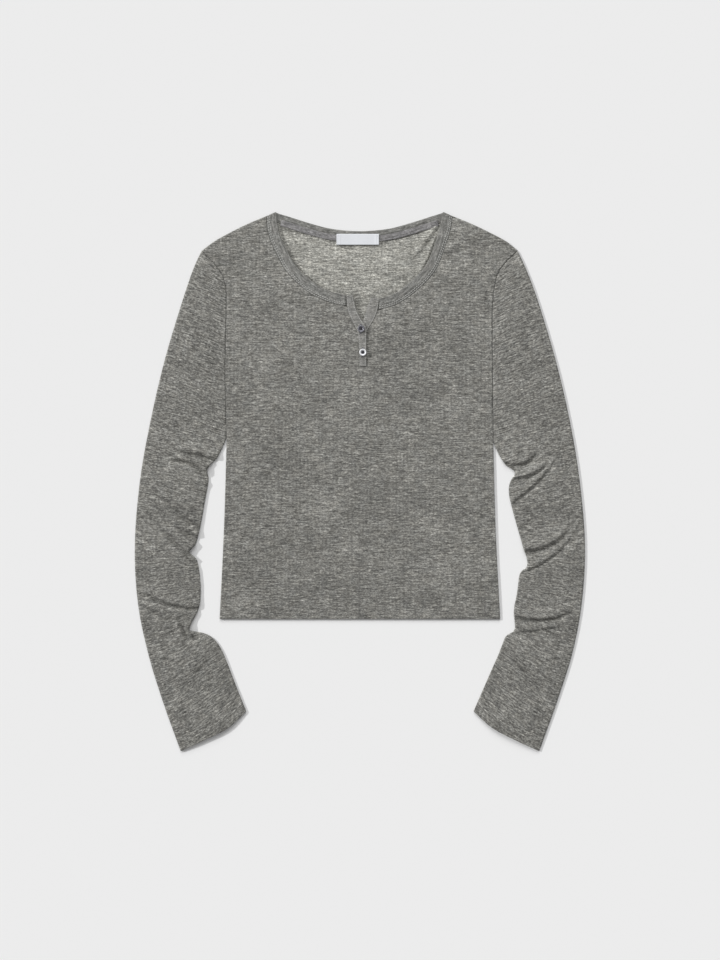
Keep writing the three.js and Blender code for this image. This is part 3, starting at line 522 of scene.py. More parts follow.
# Sleeves: each is one piece of the jersey closed to a tube along the underarm and pressed flat, so
# its outer edge is a fold that the ribs follow. Both are pushed up a little: the underarm seam is
# tucked in places, and from each tuck a fan of creases runs into the sleeve.
SLEEVE_CROWN = 1.8
SLEEVE_SPAN = 92
SLEEVE_WALL = 1.0
SLEEVE_ROLL = 1.8
LAYERS_TOUCH = 2.25         # the lowest that the upper layer's face comes, pressed on to the lower
COURSE_BOW = ((0, 300, 480, 660), (-8, -4, 8, 22))   # down the sleeve, and how far a course rises
SMOOTHING = 0.06
SLEEVES = {
    "sleeve_right": {
        "hand": 1,
        "sewn_in": (0.9, 1.6),
        "armhole": (BODY_LEFT[2:8], (-173.2, 56.9)),
        "outer": [
            (-205.7, 300.0), (-216.1, 277.9), (-230.4, 236.3), (-253.8, 158.3), (-272.0, 80.3),
            (-285.9, 2.3), (-292.7, -82.0), (-288.9, -156.3), (-275.9, -221.3), (-257.0, -283.7),
            (-233.0, -350.6),
        ],
        "cuff": [(-233.0, -350.6), (-203.1, -336.6), (-171.9, -321.0), (-147.8, -298.7)],
        "inner": [
            (-147.8, -298.7), (-162.1, -262.9), (-171.6, -238.0), (-176.9, -224.9), (-181.0, -216.6),
            (-185.2, -210.2), (-189.4, -205.3), (-194.0, -201.4), (-200.7, -197.9), (-210.0, -195.6),
            (-222.0, -193.6, "corner"), (-220.9, -188.6), (-218.6, -183.0), (-215.7, -178.0),
            (-211.6, -170.2), (-208.9, -162.4), (-207.4, -153.0), (-207.0, -136.0), (-208.4, -120.0),
            (-209.6, -112.0), (-210.6, -106.5), (-211.9, -102.2), (-214.1, -98.9), (-218.9, -94.8),
            (-221.9, -90.9, "corner"), (-218.3, -87.1), (-214.9, -83.6), (-212.8, -79.2),
            (-210.6, -71.4), (-207.2, -57.0), (-203.6, -37.0), (-200.8, -21.0), (-198.7, -10.0),
            (-197.3, -2.5), (-196.9, 3.0), (-197.3, 8.0), (-198.4, 12.0), (-198.3, 15.9),
            (-196.0, 19.6), (-192.6, 23.4), (-188.4, 27.4), (-184.9, 32.0), (-179.6, 42.5),
            (-173.2, 56.9),
        ],
        "folds": [
            ((-190, 31), (-240, 42.5), -1.5, 2.2, 7.0, 4.2),
            ((-187, 23), (-236, 35), -1.5, 6.0, 2.2, 2.0),
            ((-186, 26.5), (-246, 40), -1.5, 2.4, 2.4, -2.3),
            ((-196, 8.5), (-250, 29.5), -8.5, 2.2, 6.0, 3.8),
            ((-202, -1), (-250, 20.5), -9, 6.0, 2.2, 2.0),
            ((-198, 3.5), (-254, 25.5), -9, 2.4, 2.4, -2.3),
            ((-226, -57), (-270, -16), 0, 7.0, 1.8, 2.8),
            ((-219, -50), (-268, -4), 0, 1.8, 6.0, 2.4),
            ((-220, -56), (-270, -7.5), 0, 1.6, 1.6, -2.6),
            ((-217, -80), (-256, -55), 0, 6.0, 2.2, 3.0),
            ((-212, -69), (-244, -55), 0, 2.2, 6.0, 2.2),
            ((-214, -75), (-242, -60), 0, 2.4, 2.4, -2.4),
            ((-237, -71), (-260, -42), 0, 1.6, 1.6, -2.4),
            ((-219, -107.5), (-276, -52), 0, 7.0, 1.8, 3.8),
            ((-213, -100), (-270, -45), 0, 1.8, 7.0, 3.0),
            ((-214, -106), (-278, -43), 0, 1.8, 1.8, -3.0),
            ((-273, -145), (-204, -162.5), -6, 8.0, 2.2, 4.2),
            ((-272, -152), (-207, -170), -6, 2.2, 7.0, 2.0),
            ((-277, -147.5), (-202, -166), -6, 2.7, 2.7, -2.6),
            ((-280, -159.5), (-248, -178), 0, 6.0, 2.0, 2.4),
            ((-283, -161.5), (-244, -185), 0, 1.6, 1.6, -1.8),
            ((-220, -199), (-228, -176), 0, 1.8, 5.0, 3.4),
            ((-231, -201), (-241, -176), 0, 5.0, 1.8, 2.4),
            ((-224.5, -203), (-237, -174), 0, 2.2, 2.2, -3.6),
            ((-234, -177.5), (-219, -174.5), 1, 1.5, 1.5, -1.8),
            ((-221, -204.3), (-202, -205.5), 0, 1.5, 1.5, -2.2),
        ],
        "under": [
            ((-214, -30), (-262, -6), 4, 7.0, 4.0, 0.5), ((-222, -140), (-270, -118), -5, 5.0, 8.0, 0.5),
            ((-196, -230), (-244, -248), 3, 6.0, 4.0, 0.4), ((-196, 130), (-226, 90), -4, 6.0, 9.0, 0.4),
        ],
    },
    "sleeve_left": {
        "hand": -1,
        "sewn_in": (1.1, 3.0),
        "armhole": (BODY_RIGHT[2:8], (173.4, 51.7)),
        "outer": [
            (205.1, 300.0), (215.5, 277.9), (231.1, 236.3), (254.5, 158.3), (272.7, 80.3),
            (285.7, 2.3), (292.7, -82.0), (288.7, -156.3), (276.6, -221.3), (257.1, -283.7),
            (233.1, -350.6),
        ],
        "cuff": [(233.1, -350.6), (201.2, -335.9), (171.3, -319.8), (147.9, -298.7)],
        "inner": [
            (147.9, -298.7), (163.5, -262.9), (172.6, -242.0), (178.6, -228.8), (183.3, -217.1),
            (186.3, -209.3), (188.2, -204.3), (190.9, -200.2), (195.5, -197.5), (199.6, -194.9),
            (201.6, -190.4), (201.6, -185.8), (200.9, -178.0), (200.2, -170.2), (201.2, -160.0),
            (203.1, -152.0), (205.0, -140.5), (206.2, -130.0), (207.2, -123.5), (208.8, -118.6),
            (212.0, -115.0), (216.0, -112.4), (217.7, -108.0), (217.8, -103.6), (216.2, -96.1),
            (212.9, -88.3), (210.0, -76.7), (205.6, -62.0), (200.6, -44.0), (196.9, -30.0),
            (194.6, -20.0), (193.7, -12.0), (194.2, -5.0), (195.8, 0.1), (198.0, 4.2),
            (200.8, 8.0), (201.3, 12.0), (198.3, 15.7), (191.9, 19.6), (188.1, 23.5),
            (183.0, 31.3), (178.9, 39.1), (173.4, 51.7),
        ],
        "folds": [
            ((193, 26.5), (229, 38.5), -7, 7.0, 2.2, 3.8),
            ((191, 23), (229, 35.5), -7, 2.0, 2.0, -1.7),
            ((198, 5), (242, 24), -3.5, 6.0, 2.4, 3.2),
            ((198, 1.5), (243, 21), -3.5, 2.6, 2.6, -1.9),
            ((214, 8), (248, 38), -5.5, 5.0, 2.0, 1.4),
            ((201, -22.5), (260, 43), -5.4, 6.0, 2.2, 2.1),
            ((202, -26), (262, 41), -5.4, 1.6, 1.6, -0.9),
            ((214, -87), (274, -56), -7.5, 9.0, 3.4, 4.4),
            ((216, -92), (278, -56), -8, 2.2, 2.2, -1.8),
            ((219, -112), (288, -46), -10, 5.0, 2.0, 1.8),
            ((220, -115.5), (290, -45), -10, 1.6, 1.6, -0.7),
            ((210.5, -119), (217, -116.5), 0, 1.0, 1.0, -1.0),
            ((203, -173), (276, -165), -8, 8.0, 2.6, 4.0),
            ((203, -177), (282, -167), -8, 2.2, 2.2, -2.0),
            ((209, -193), (264, -185), -1.5, 5.0, 2.2, 1.8),
            ((210, -196.3), (268, -187), -1.5, 1.6, 1.6, -0.8),
        ],
        "under": [
            ((210, -40), (262, -20), -4, 4.0, 7.0, 0.5), ((214, -150), (270, -132), 5, 8.0, 5.0, 0.5),
            ((190, -236), (246, -252), -3, 5.0, 5.0, 0.4), ((196, 150), (232, 104), 4, 8.0, 6.0, 0.4),
        ],
    },
}


def spaced(line, count):
    """Points at even steps along a line, and how far along each lies."""
    gone = np.concatenate([[0], np.cumsum(np.linalg.norm(np.diff(line, axis=0), axis=1))])
    steps = np.linspace(0, gone[-1], count)
    return np.stack([np.interp(steps, gone, line[:, k]) for k in (0, 1)], 1), steps


for name, cut in SLEEVES.items():
    hand = cut["hand"]
    fold, down = spaced(line_through(cut["outer"]), 697)
    reach = int(SMOOTHING * len(fold))
    number = np.arange(len(fold))
    along = fold[np.minimum(number + reach, len(fold) - 1)] - fold[np.maximum(number - reach, 0)]
    along /= np.linalg.norm(along, axis=1, keepdims=True)
    inward = np.stack([-along[:, 1], along[:, 0]], 1) * hand

    def to_pattern(points):
        """A point of the plan as (in from the outer fold, down the sleeve), on the flat pattern."""
        found = []
        for point in points:
            ahead = np.einsum("ij,ij->i", point - fold, along)
            passed = np.nonzero((ahead[:-1] >= 0) & (ahead[1:] < 0))[0]
            at = passed[0] if len(passed) else (0 if ahead[0] < 0 else len(fold) - 1)
            if len(passed):
                at = at + ahead[at] / (ahead[at] - ahead[at + 1])
                run_out = 0
            else:
                run_out = ahead[at]
            base = np.array([np.interp(at, number, fold[:, k]) for k in (0, 1)])
            side = np.array([np.interp(at, number, inward[:, k]) for k in (0, 1)])
            found.append((float((point - base) @ side), float(np.interp(at, number, down) + run_out)))
        return np.array(found)

    def to_plan(pattern):
        """The reverse: where a point of the flat pattern lies on the table."""
        across, depth = pattern[:, 0], pattern[:, 1]
        held = np.clip(depth, 0, down[-1])
        base = np.stack([np.interp(held, down, fold[:, k]) for k in (0, 1)], 1)
        side = np.stack([np.interp(held, down, inward[:, k]) for k in (0, 1)], 1)
        ahead = np.stack([np.interp(held, down, along[:, k]) for k in (0, 1)], 1)
        return base + side * across[:, None] + ahead * (depth - held)[:, None]

    armhole = beside(line_through(cut["armhole"][0]), hand * SEAM_GAP)
    seam = line_through(cut["inner"], 3)
    seam[-1] = armhole[0]
    cuff = line_through(cut["cuff"])
    edges = {
        "fold": to_pattern(fold[::12]),
        "cuff": to_pattern(cuff),
        "seam": to_pattern(seam),
        "armhole": to_pattern(armhole),
    }
    edges["fold"][:, 0] = 0
    edges["cuff"][0] = edges["fold"][-1]
    edges["armhole"][-1] = edges["fold"][0]
    pattern_edge = np.vstack([edges[part][:-1] for part in ("fold", "cuff", "seam", "armhole")])
    rows = np.concatenate([
        np.arange(-40, 144, 8), np.arange(144, 246, 6), np.arange(246, 524, 1.4), np.arange(525, 566, 4),
        np.arange(570, 740, 8)])
    sleeve_mesh = cut_cloth(pattern_edge, np.arange(0, 118) * RIB_PITCH / 4, rows)

    def past_armhole(plan):
        x, y = plan[:, 0], plan[:, 1]
        beside_body = smooth(0, 30, np.abs(x) - HALF_CHEST - np.maximum(0, y - 250) * 0.6)
        return np.maximum(beside_body, 1 - smooth(32, 58, y))

    def upper(pattern):
        plan = to_plan(pattern)
        across = pattern[:, 0]
        crown = np.maximum(0, 1 - (2 * across / SLEEVE_SPAN - 1) ** 2) * SLEEVE_CROWN
        creases = smooth(-1, 12, across) * fold_height(cut["folds"], plan[:, 0], plan[:, 1])
        level = FRONT_UNDER + past_armhole(plan) * (crown + creases) + CLOTH - 0.3 + rib(across)
        pressed = np.minimum(across, distance_to(edges["seam"], pattern))
        depth, reach = cut["sewn_in"]
        sewn_down = depth * (1 - rolled(distance_to(edges["armhole"], pattern), reach))
        raised = np.maximum(level, LAYERS_TOUCH) - FRONT_UNDER
        return FRONT_UNDER + raised * rolled(pressed, SLEEVE_ROLL) - sewn_down * smooth(0, 3, pressed)

    def lower(pattern):
        plan = to_plan(pattern)
        pressed = np.minimum(pattern[:, 0], distance_to(edges["seam"], pattern))
        creases = np.clip(fold_height(cut["under"], plan[:, 0], plan[:, 1]), 0, 0.5)
        drawn_up = creases * past_armhole(plan) * smooth(4, 16, pressed)
        return (FRONT_UNDER - 0.25) * (1 - rolled(pressed, SLEEVE_ROLL)) + drawn_up

    low_faces = set(sleeve_mesh.faces)
    top_faces = set(give_wall(sleeve_mesh, upper, lower))
    side_faces = [f for f in sleeve_mesh.faces if f not in top_faces and f not in low_faces]
    uv = sleeve_mesh.loops.layers.uv.new("pattern")
    for face in sleeve_mesh.faces:
        under = -1 if face not in top_faces else 1
        for loop in face.loops:
            across, depth = loop.vert.co.x, loop.vert.co.y
            bow = np.interp(depth / MM, *COURSE_BOW) * MM
            loop[uv].uv = (across * under, depth + bow * (across / (SLEEVE_SPAN * MM)) ** 2)
    middles = np.array([f.calc_center_median()[:2] for f in side_faces]) / MM
    open_ends = np.minimum(distance_to(edges["armhole"], middles), distance_to(edges["cuff"], middles))
    bmesh.ops.delete(
        sleeve_mesh, geom=[f for f, d in zip(side_faces, open_ends) if d < 0.02], context="FACES")
    verts = sleeve_mesh.verts[:]
    for vert, (x, y) in zip(verts, to_plan(np.array([v.co[:2] for v in verts]) / MM)):
        vert.co.x, vert.co.y = x * MM, y * MM
    sleeve_mesh.normal_update()
    if sum(f.normal.z for f in top_faces) < 0:
        bmesh.ops.reverse_faces(sleeve_mesh, faces=sleeve_mesh.faces)
    sleeve_face = heather("heather_" + name, FACE_WARM, FACE_COOL, 2.95, "UV", paler=(-0.25, 0.075))
    sleeve = piece(name + "_tube", sleeve_mesh, [sleeve_face, wrong_lit_through_jersey])
    wall = sleeve.modifiers.new("wall", "SOLIDIFY")
    wall.thickness = SLEEVE_WALL * MM
    wall.offset = -1
    wall.material_offset = 1
    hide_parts(name)

# Placket: two narrow strips of the jersey, folded double and sewn to the slit's edges with a row of
# stitches inside each long edge. The top one carries the buttonholes and laps over the under one,
# which carries the buttons. A stitched box closes the foot of the slit.
THREAD = (190, 190, 186)
STRIP_WALL = 1.2
STRIP_ROW = 1.6             # from an edge of the strip to its row of stitches
TOP_STRIP_LIFT = CLOTH + RIB_RISE + SEAM_GAP


def sew_row(mesh, path, pitch, length, width, turned=False):
    """A row of stitches along a path of (x, y, z), each a short plump loop of thread half sunk in
    the cloth, lying along the row or, for a worked edge, turned across it."""
    path = np.array(path, float)
    gone = np.concatenate([[0], np.cumsum(np.linalg.norm(np.diff(path, axis=0), axis=1))])
    for at in np.arange(pitch / 2, gone[-1], pitch):
        here, ahead = (
            np.array([np.interp(min(s, gone[-1]), gone, path[:, k]) for k in range(3)])
            for s in (at - 0.3, at + 0.3))
        way = Vector(ahead - here).normalized()
        if turned:
            way = Vector((-way.y, way.x, 0)).normalized()
        size = Matrix.Diagonal((length / 2 * MM, width / 2 * MM, width * 0.4 * MM, 1))
        turn_to = way.to_track_quat("X", "Z").to_matrix().to_4x4()
        spot = Matrix.Translation(Vector((here + ahead) / 2) * MM)
        bmesh.ops.create_uvsphere(mesh, u_segments=8, v_segments=4, radius=1, matrix=spot @ turn_to @ size)


def thread_skin(name, colour):
    """Matt sewing thread, a little lighter and darker along its twist."""
    material = bpy.data.materials.new(name)
    material.use_nodes = True
    tree = material.node_tree
    skin = tree.nodes["Principled BSDF"]
    place = tree.nodes.new("ShaderNodeTexCoord")
    twist = tree.nodes.new("ShaderNodeTexNoise")
    twist.inputs["Scale"].default_value = 1 / (1.2 * MM)
    shades = tree.nodes.new("ShaderNodeMix")
    shades.data_type = "RGBA"
    shades.inputs["A"].default_value = (*tone(*(c * 0.86 for c in colour)), 1)
    shades.inputs["B"].default_value = (*tone(*(c * 1.1 for c in colour)), 1)
    tree.links.new(place.outputs["Object"], twist.inputs["Vector"])
    tree.links.new(twist.outputs["Fac"], shades.inputs["Factor"])
    tree.links.new(shades.outputs["Result"], skin.inputs["Base Color"])
    skin.inputs["Roughness"].default_value = 0.8
    skin.inputs["Specular IOR Level"].default_value = 0.3
    return material


def strip_level(lift):
    """The height of a strip's face, a distance in from its edge: it thins towards its foot."""
    def level(plan, inland):
        y = plan[:, 1]
        wall = 0.3 + (STRIP_WALL - 0.6 * (1 - smooth(152, 178, y)) - 0.3) * rolled(inland, 1.2)
        groove = 0.3 * np.exp(-(((inland - STRIP_ROW) / 0.6) ** 2))
        return front_inside(plan[:, 0], y) + lift + wall - groove
    return level


def lay_strip(name, strip, lift, node, seams):
    outline = np.vstack([strip_edge(strip, 0), strip_edge(strip, 1)[::-1]])
    closed = np.vstack([outline, outline[:1]])
    low, high = outline.min(0), outline.max(0)
    mesh = cut_cloth(outline, np.arange(low[0] + 0.5, high[0], 0.9), np.arange(low[1] + 0.7, high[1], 1.6))
    level = strip_level(lift)
    give_wall(
        mesh,
        lambda plan: level(plan, distance_to(closed, plan)),
        lambda plan: front_inside(plan[:, 0], plan[:, 1]) + lift)
    made = piece(name, mesh, [strip_jersey])
    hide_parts(node)
    hand = np.sign(strip[0][1][0] - strip[0][0][0])
    for which, turn_in in ((0, 1), (1, -1)):
        row = beside(strip_edge(strip, which), turn_in * hand * STRIP_ROW)
        row = row[row[:, 1] > low[1] + 8]
        heights = level(row, np.full(len(row), STRIP_ROW))
        sew_row(seams, np.column_stack([row, heights + 0.05]), 2.6, 2.2, 0.75)


strip_jersey = heather("heather_strip", (138, 136, 131), (134, 134, 132), 1.7)
placket_seams = bmesh.new()
lay_strip("placket_under_strip", PLACKET_UNDER, 0.0, "placket_under", placket_seams)
lay_strip("placket_top_strip", PLACKET_TOP, TOP_STRIP_LIFT, "placket_top", placket_seams)
top_level = strip_level(TOP_STRIP_LIFT)
box = np.array([(1.4, 158.6), (6.7, 158.6), (6.6, 152.0), (1.3, 152.0), (1.4, 158.6)])
for corner, next_corner in zip(box, box[1:]):
    run = np.linspace(corner, next_corner, 5)
    heights = top_level(run, np.full(5, STRIP_ROW))
    sew_row(placket_seams, np.column_stack([run, heights + 0.05]), 1.9, 1.6, 0.5)
placket_thread = thread_skin("placket_thread", THREAD)
piece("placket_stitches", placket_seams, [placket_thread])

# Neck binding: a strip of the jersey folded over the neck edge and sewn with a twin needle. It runs
# up from the placket, turns over at the shoulder, passes behind the neck and comes down again.
BAND_WALL = 1.6
FOLD_CENTRE = CLOTH + SEAM_GAP / 2
BAND_AROUND = 56
TWIN_ROWS = (10.2, 12.5)    # from the free edge
BACK_RIM = {"to": 6.2, "rise": 0.4, "half": 90}   # the thick part of the back stretch, above its tape


def swept(name, rings, materials):
    """A closed skin through rings of points, with its ends filled and a pattern of its own."""
    along, around = rings.shape[:2]
    mesh = bmesh.new()
    uv = mesh.loops.layers.uv.new("pattern")
    bmesh.ops.create_grid(mesh, x_segments=around, y_segments=along - 1, size=1, calc_uvs=True)
    length = np.linalg.norm(np.diff(rings.mean(1), axis=0), axis=1).sum()
    girth = np.linalg.norm(np.diff(rings[0], axis=0), axis=1).sum()
    for face in mesh.faces:
        for loop in face.loops:
            loop[uv].uv = (loop[uv].uv[1] * length, loop[uv].uv[0] * girth)
    for vert in mesh.verts:
        ring = round((vert.co.y + 1) / 2 * (along - 1))
        step = round((vert.co.x + 1) / 2 * around) % around
        vert.co = rings[ring, step]
    bmesh.ops.remove_doubles(mesh, verts=mesh.verts, dist=1e-8)
    bmesh.ops.holes_fill(mesh, edges=[e for e in mesh.edges if e.is_boundary], sides=0)
    bmesh.ops.recalc_face_normals(mesh, faces=mesh.faces)
    return piece(name, mesh, materials)


def band_rings():
    """Round the binding's section: (share of its width from the free edge, share of its wall)."""
    share = 0.5 - 0.5 * np.cos(np.linspace(0, np.pi, BAND_AROUND // 2 + 1))
    wide = share * BAND_WIDTH
    groove = sum(0.3 * np.exp(-(((wide - at) / 0.5) ** 2)) for at in TWIN_ROWS)
    bulge = rolled(wide, 1.6) * rolled(BAND_WIDTH - wide, 0.6)
    outer = 0.5 + 0.5 * bulge * (1 - 0.5 * smooth(0.72, 1, share)) - groove * (bulge > 0.9)
    inner = 0.5 - 0.5 * bulge
    return np.array([*zip(share, outer), *list(zip(share, inner))[-2:0:-1]])


def front_stations(side):
    """The binding's sections on the front. Its free edge stands a little off the back panel."""
    rows = []
    lines = front_free[side], front_sewn(side)
    for number, (a, b) in enumerate(zip(*lines)):
        base = [float(front_inside(np.array([p[0]]), np.array([p[1]]))[0]) for p in (a, b)]
        base[0] += 0.9 * smooth(0, 5, number) * smooth(0, 8, len(lines[0]) - 1 - number)
        rows.append((a, b, base, np.array((0, 0, 1.0)), BAND_WALL))
    return rows


def turned_stations(side, angles):
    away = np.array((-0.403 if side == "left" else 0.403, 0.915))
    free, sewn = NECK_POINT[side], NECK_POINT[side] + SHOULDER_SLOPE[side] * BAND_WIDTH
    rows = []
    for degrees in angles:
        angle = math.radians(degrees)
        out = np.array((*(away * math.cos(angle)), math.sin(angle)))
        wall = CLOTH + (BAND_WALL - CLOTH) * (degrees + 90) / 180
        offset = out * SEAM_GAP / 2
        rows.append((free + offset[:2], sewn + offset[:2], [FOLD_CENTRE + offset[2]] * 2, out, wall))
    return rows


profile = band_rings()
stations = []               # free point, sewn point, near level at each, outward direction, wall
stations += front_stations("left")[::-1][:-1]
stations += turned_stations("left", range(90, -91, -15))
for a, b in zip(back_free[1:-1], back_sewn[1:-1]):
    stations.append((a, b, [CLOTH, CLOTH], np.array((0, 0, -1.0)), CLOTH))
stations += turned_stations("right", range(-90, 91, 15))
stations += front_stations("right")[1:]


def band_ring(a, b, base, out, wall):
    """One section of the binding, with the back stretch's own thick rim over the tape."""
    thick = 0
    if out[2] < -0.99:
        thick = BACK_RIM["rise"] * (1 - smooth(BACK_RIM["half"] - 12, BACK_RIM["half"], abs(a[0])))
    ring = []
    for share, depth in profile:
        near = 1 - smooth(BACK_RIM["to"] - 0.9, BACK_RIM["to"], share * BAND_WIDTH)
        lift = thick * near * (1 - depth)
        spot = a + (b - a) * share + out[:2] * wall * depth
        ring.append((*spot, base[0] + (base[1] - base[0]) * share + out[2] * wall * depth + lift))
    return ring


rings = np.array([band_ring(*station) for station in stations]) * MM
band_jersey = heather("heather_binding", (128, 126, 122), (125, 126, 123), 1.9, "UV", wales=False)
neckband = swept("neck_binding_strip", rings, [band_jersey])
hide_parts("neckband")

band_seams = bmesh.new()
for side in ("left", "right"):
    for at in TWIN_ROWS:
        share = at / BAND_WIDTH
        face = BAND_WALL * (1 - 0.25 * smooth(0.72, 1, share)) - 0.02
        row = [(*(a + (b - a) * share), base[0] + (base[1] - base[0]) * share + face)
               for a, b, base, out, wall in front_stations(side)]
        sew_row(band_seams, row, 3.2, 2.7, 0.85)
band_thread = thread_skin("binding_thread", (196, 196, 192))
neck_stitches = piece("neck_stitches", band_seams, [band_thread])

# Neck tape: a smooth woven tape that covers the seam inside the back neck, faintly purple, sewn
# down along both its edges.
TAPE = {"from": 7.0, "to": 14.7, "clear": 8.0, "wall": 1.0}
tape_width = TAPE["to"] - TAPE["from"]
tape_path = back_free[(back_free[:, 0] > BACK_NECK[0][0] + TAPE["clear"])
                      & (back_free[:, 0] < -BACK_NECK[0][0] - TAPE["clear"])]
tape_free, tape_low = beside(tape_path, -TAPE["from"]), beside(tape_path, -TAPE["to"])
tape_share = 0.5 - 0.5 * np.cos(np.linspace(0, np.pi, 17))
tape_bulge = rolled(tape_share * tape_width, 0.5) * rolled((1 - tape_share) * tape_width, 0.5)
tape_section = np.array([*zip(tape_share, 0.5 + 0.5 * tape_bulge),
                         *list(zip(tape_share, 0.5 - 0.5 * tape_bulge))[-2:0:-1]])
tape_low_level = CLOTH + SEAM_GAP
tape_rings = np.array([
    [(*(a + (b - a) * share), tape_low_level + TAPE["wall"] * depth) for share, depth in tape_section]
    for a, b in zip(tape_free, tape_low)
]) * MM
tape_cloth = heather("tape_twill", (134, 132, 131), (130, 129, 130), 1.7, "UV", wales=False)
tape = swept("neck_tape_strip", tape_rings, [tape_cloth])
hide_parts("neck_tape")
tape_seams = bmesh.new()
for at in (1.3, tape_width - 1.3):
    row = tape_free + (tape_low - tape_free) * at / tape_width
    heights = np.full(len(row), tape_low_level + TAPE["wall"])
    sew_row(tape_seams, np.column_stack([row, heights]), 3.0, 2.2, 0.45)
tape_thread = thread_skin("tape_thread", (140, 138, 140))
tape_stitches = piece("tape_stitches", tape_seams, [tape_thread])

# Neck label: a blank white satin label with its two ends turned under and stitched to the tape.
LABEL = {"x": -2.7, "y": 314.8, "width": 55.3, "height": 14.3}
label_mesh = cut_cloth(
    np.array([(LABEL["x"] + sx * LABEL["width"] / 2, LABEL["y"] + sy * LABEL["height"] / 2)
              for sx, sy in ((-1, -1), (1, -1), (1, 1), (-1, 1))]),
    LABEL["x"] + np.arange(-27, 28, 1.0), LABEL["y"] + np.arange(-6.5, 7, 1.0))
label_low = CLOTH + TAPE["wall"] + 2 * SEAM_GAP


def label_upper(plan):
    from_end = LABEL["width"] / 2 - np.abs(plan[:, 0] - LABEL["x"])
    from_long = LABEL["height"] / 2 - np.abs(plan[:, 1] - LABEL["y"])
    wave = 0.12 * np.sin((plan[:, 0] - LABEL["x"]) / 6.0) * smooth(2, 12, from_end)
    turned = 0.25 * (1 - smooth(4.5, 5.2, from_end))
    stitched = 0.25 * np.exp(-(((from_end - 2.2) / 0.5) ** 2))
    edge = rolled(np.minimum(from_end, from_long), 0.6)
    return label_low + 0.2 + (0.35 + turned - stitched + wave) * edge


give_wall(label_mesh, label_upper, lambda plan: np.full(len(plan), label_low))
satin = bpy.data.materials.new("label_satin")
satin.use_nodes = True
satin_tree = satin.node_tree
satin_skin = satin_tree.nodes["Principled BSDF"]
satin_place = satin_tree.nodes.new("ShaderNodeTexCoord")
satin_stretch = satin_tree.nodes.new("ShaderNodeMapping")
satin_stretch.inputs["Scale"].default_value = (1 / (4 * MM), 1 / (0.5 * MM), 1 / (4 * MM))
satin_noise = satin_tree.nodes.new("ShaderNodeTexNoise")
satin_noise.inputs["Scale"].default_value = 1.0
satin_ramp = satin_tree.nodes.new("ShaderNodeMix")
satin_ramp.data_type = "RGBA"
satin_ramp.inputs["A"].default_value = (*tone(219, 222, 227), 1)
satin_ramp.inputs["B"].default_value = (*tone(238, 240, 244), 1)
satin_bump = satin_tree.nodes.new("ShaderNodeBump")
satin_bump.inputs["Strength"].default_value = 0.2
satin_bump.inputs["Distance"].default_value = 0.1 * MM
satin_tree.links.new(satin_place.outputs["Object"], satin_stretch.inputs["Vector"])
satin_tree.links.new(satin_stretch.outputs["Vector"], satin_noise.inputs["Vector"])
satin_tree.links.new(satin_noise.outputs["Fac"], satin_ramp.inputs["Factor"])
satin_tree.links.new(satin_ramp.outputs["Result"], satin_skin.inputs["Base Color"])
satin_tree.links.new(satin_noise.outputs["Fac"], satin_bump.inputs["Height"])
satin_tree.links.new(satin_bump.outputs["Normal"], satin_skin.inputs["Normal"])
satin_skin.inputs["Roughness"].default_value = 0.5
satin_skin.inputs["Specular IOR Level"].default_value = 0.4
satin_skin.inputs["Sheen Weight"].default_value = 0.15
label = piece("neck_label", label_mesh, [satin])
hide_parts("label")
label_seams = bmesh.new()
for end in (-1, 1):
    x = LABEL["x"] + end * (LABEL["width"] / 2 - 2.2)
    for y in (LABEL["y"] + 3.9, LABEL["y"] + 5.5):
        sew_row(label_seams, [(x, y - 0.7, label_low + 0.62), (x, y + 0.7, label_low + 0.62)], 1.4, 1.3, 0.5)
label_thread = thread_skin("label_thread", (186, 189, 196))
piece("label_stitches", label_seams, [label_thread])

# Buttons: two small four-hole shirt buttons, the upper smoke grey and the lower pearl, each with a
# raised rim round a sunk middle, sewn through its holes with a cross of dark thread. Each comes
# through an upright buttonhole, whose worked edge shows above and below it.
BUTTON = {"width": 9.2, "height": 2.2, "hole": 0.65, "spread": 1.35, "middle": 0.56,
          "corner": 0.71, "well": 0.66}
# The well colours are painted shade in the buttons' sunk middles.
BUTTONS = {
    "button_upper": {"x": 1.6, "y": 198.4, "rim": (122, 122, 130), "well": (66, 64, 72), "lean": -0.6,
                     "slot": "smoke_button"},
    "button_lower": {"x": 3.9, "y": 167.8, "rim": (246, 247, 250), "well": (74, 74, 84), "lean": 0.0,
                     "slot": "pearl_button"},
}
BUTTONHOLE = {"half": 6.2, "wide": 1.1}


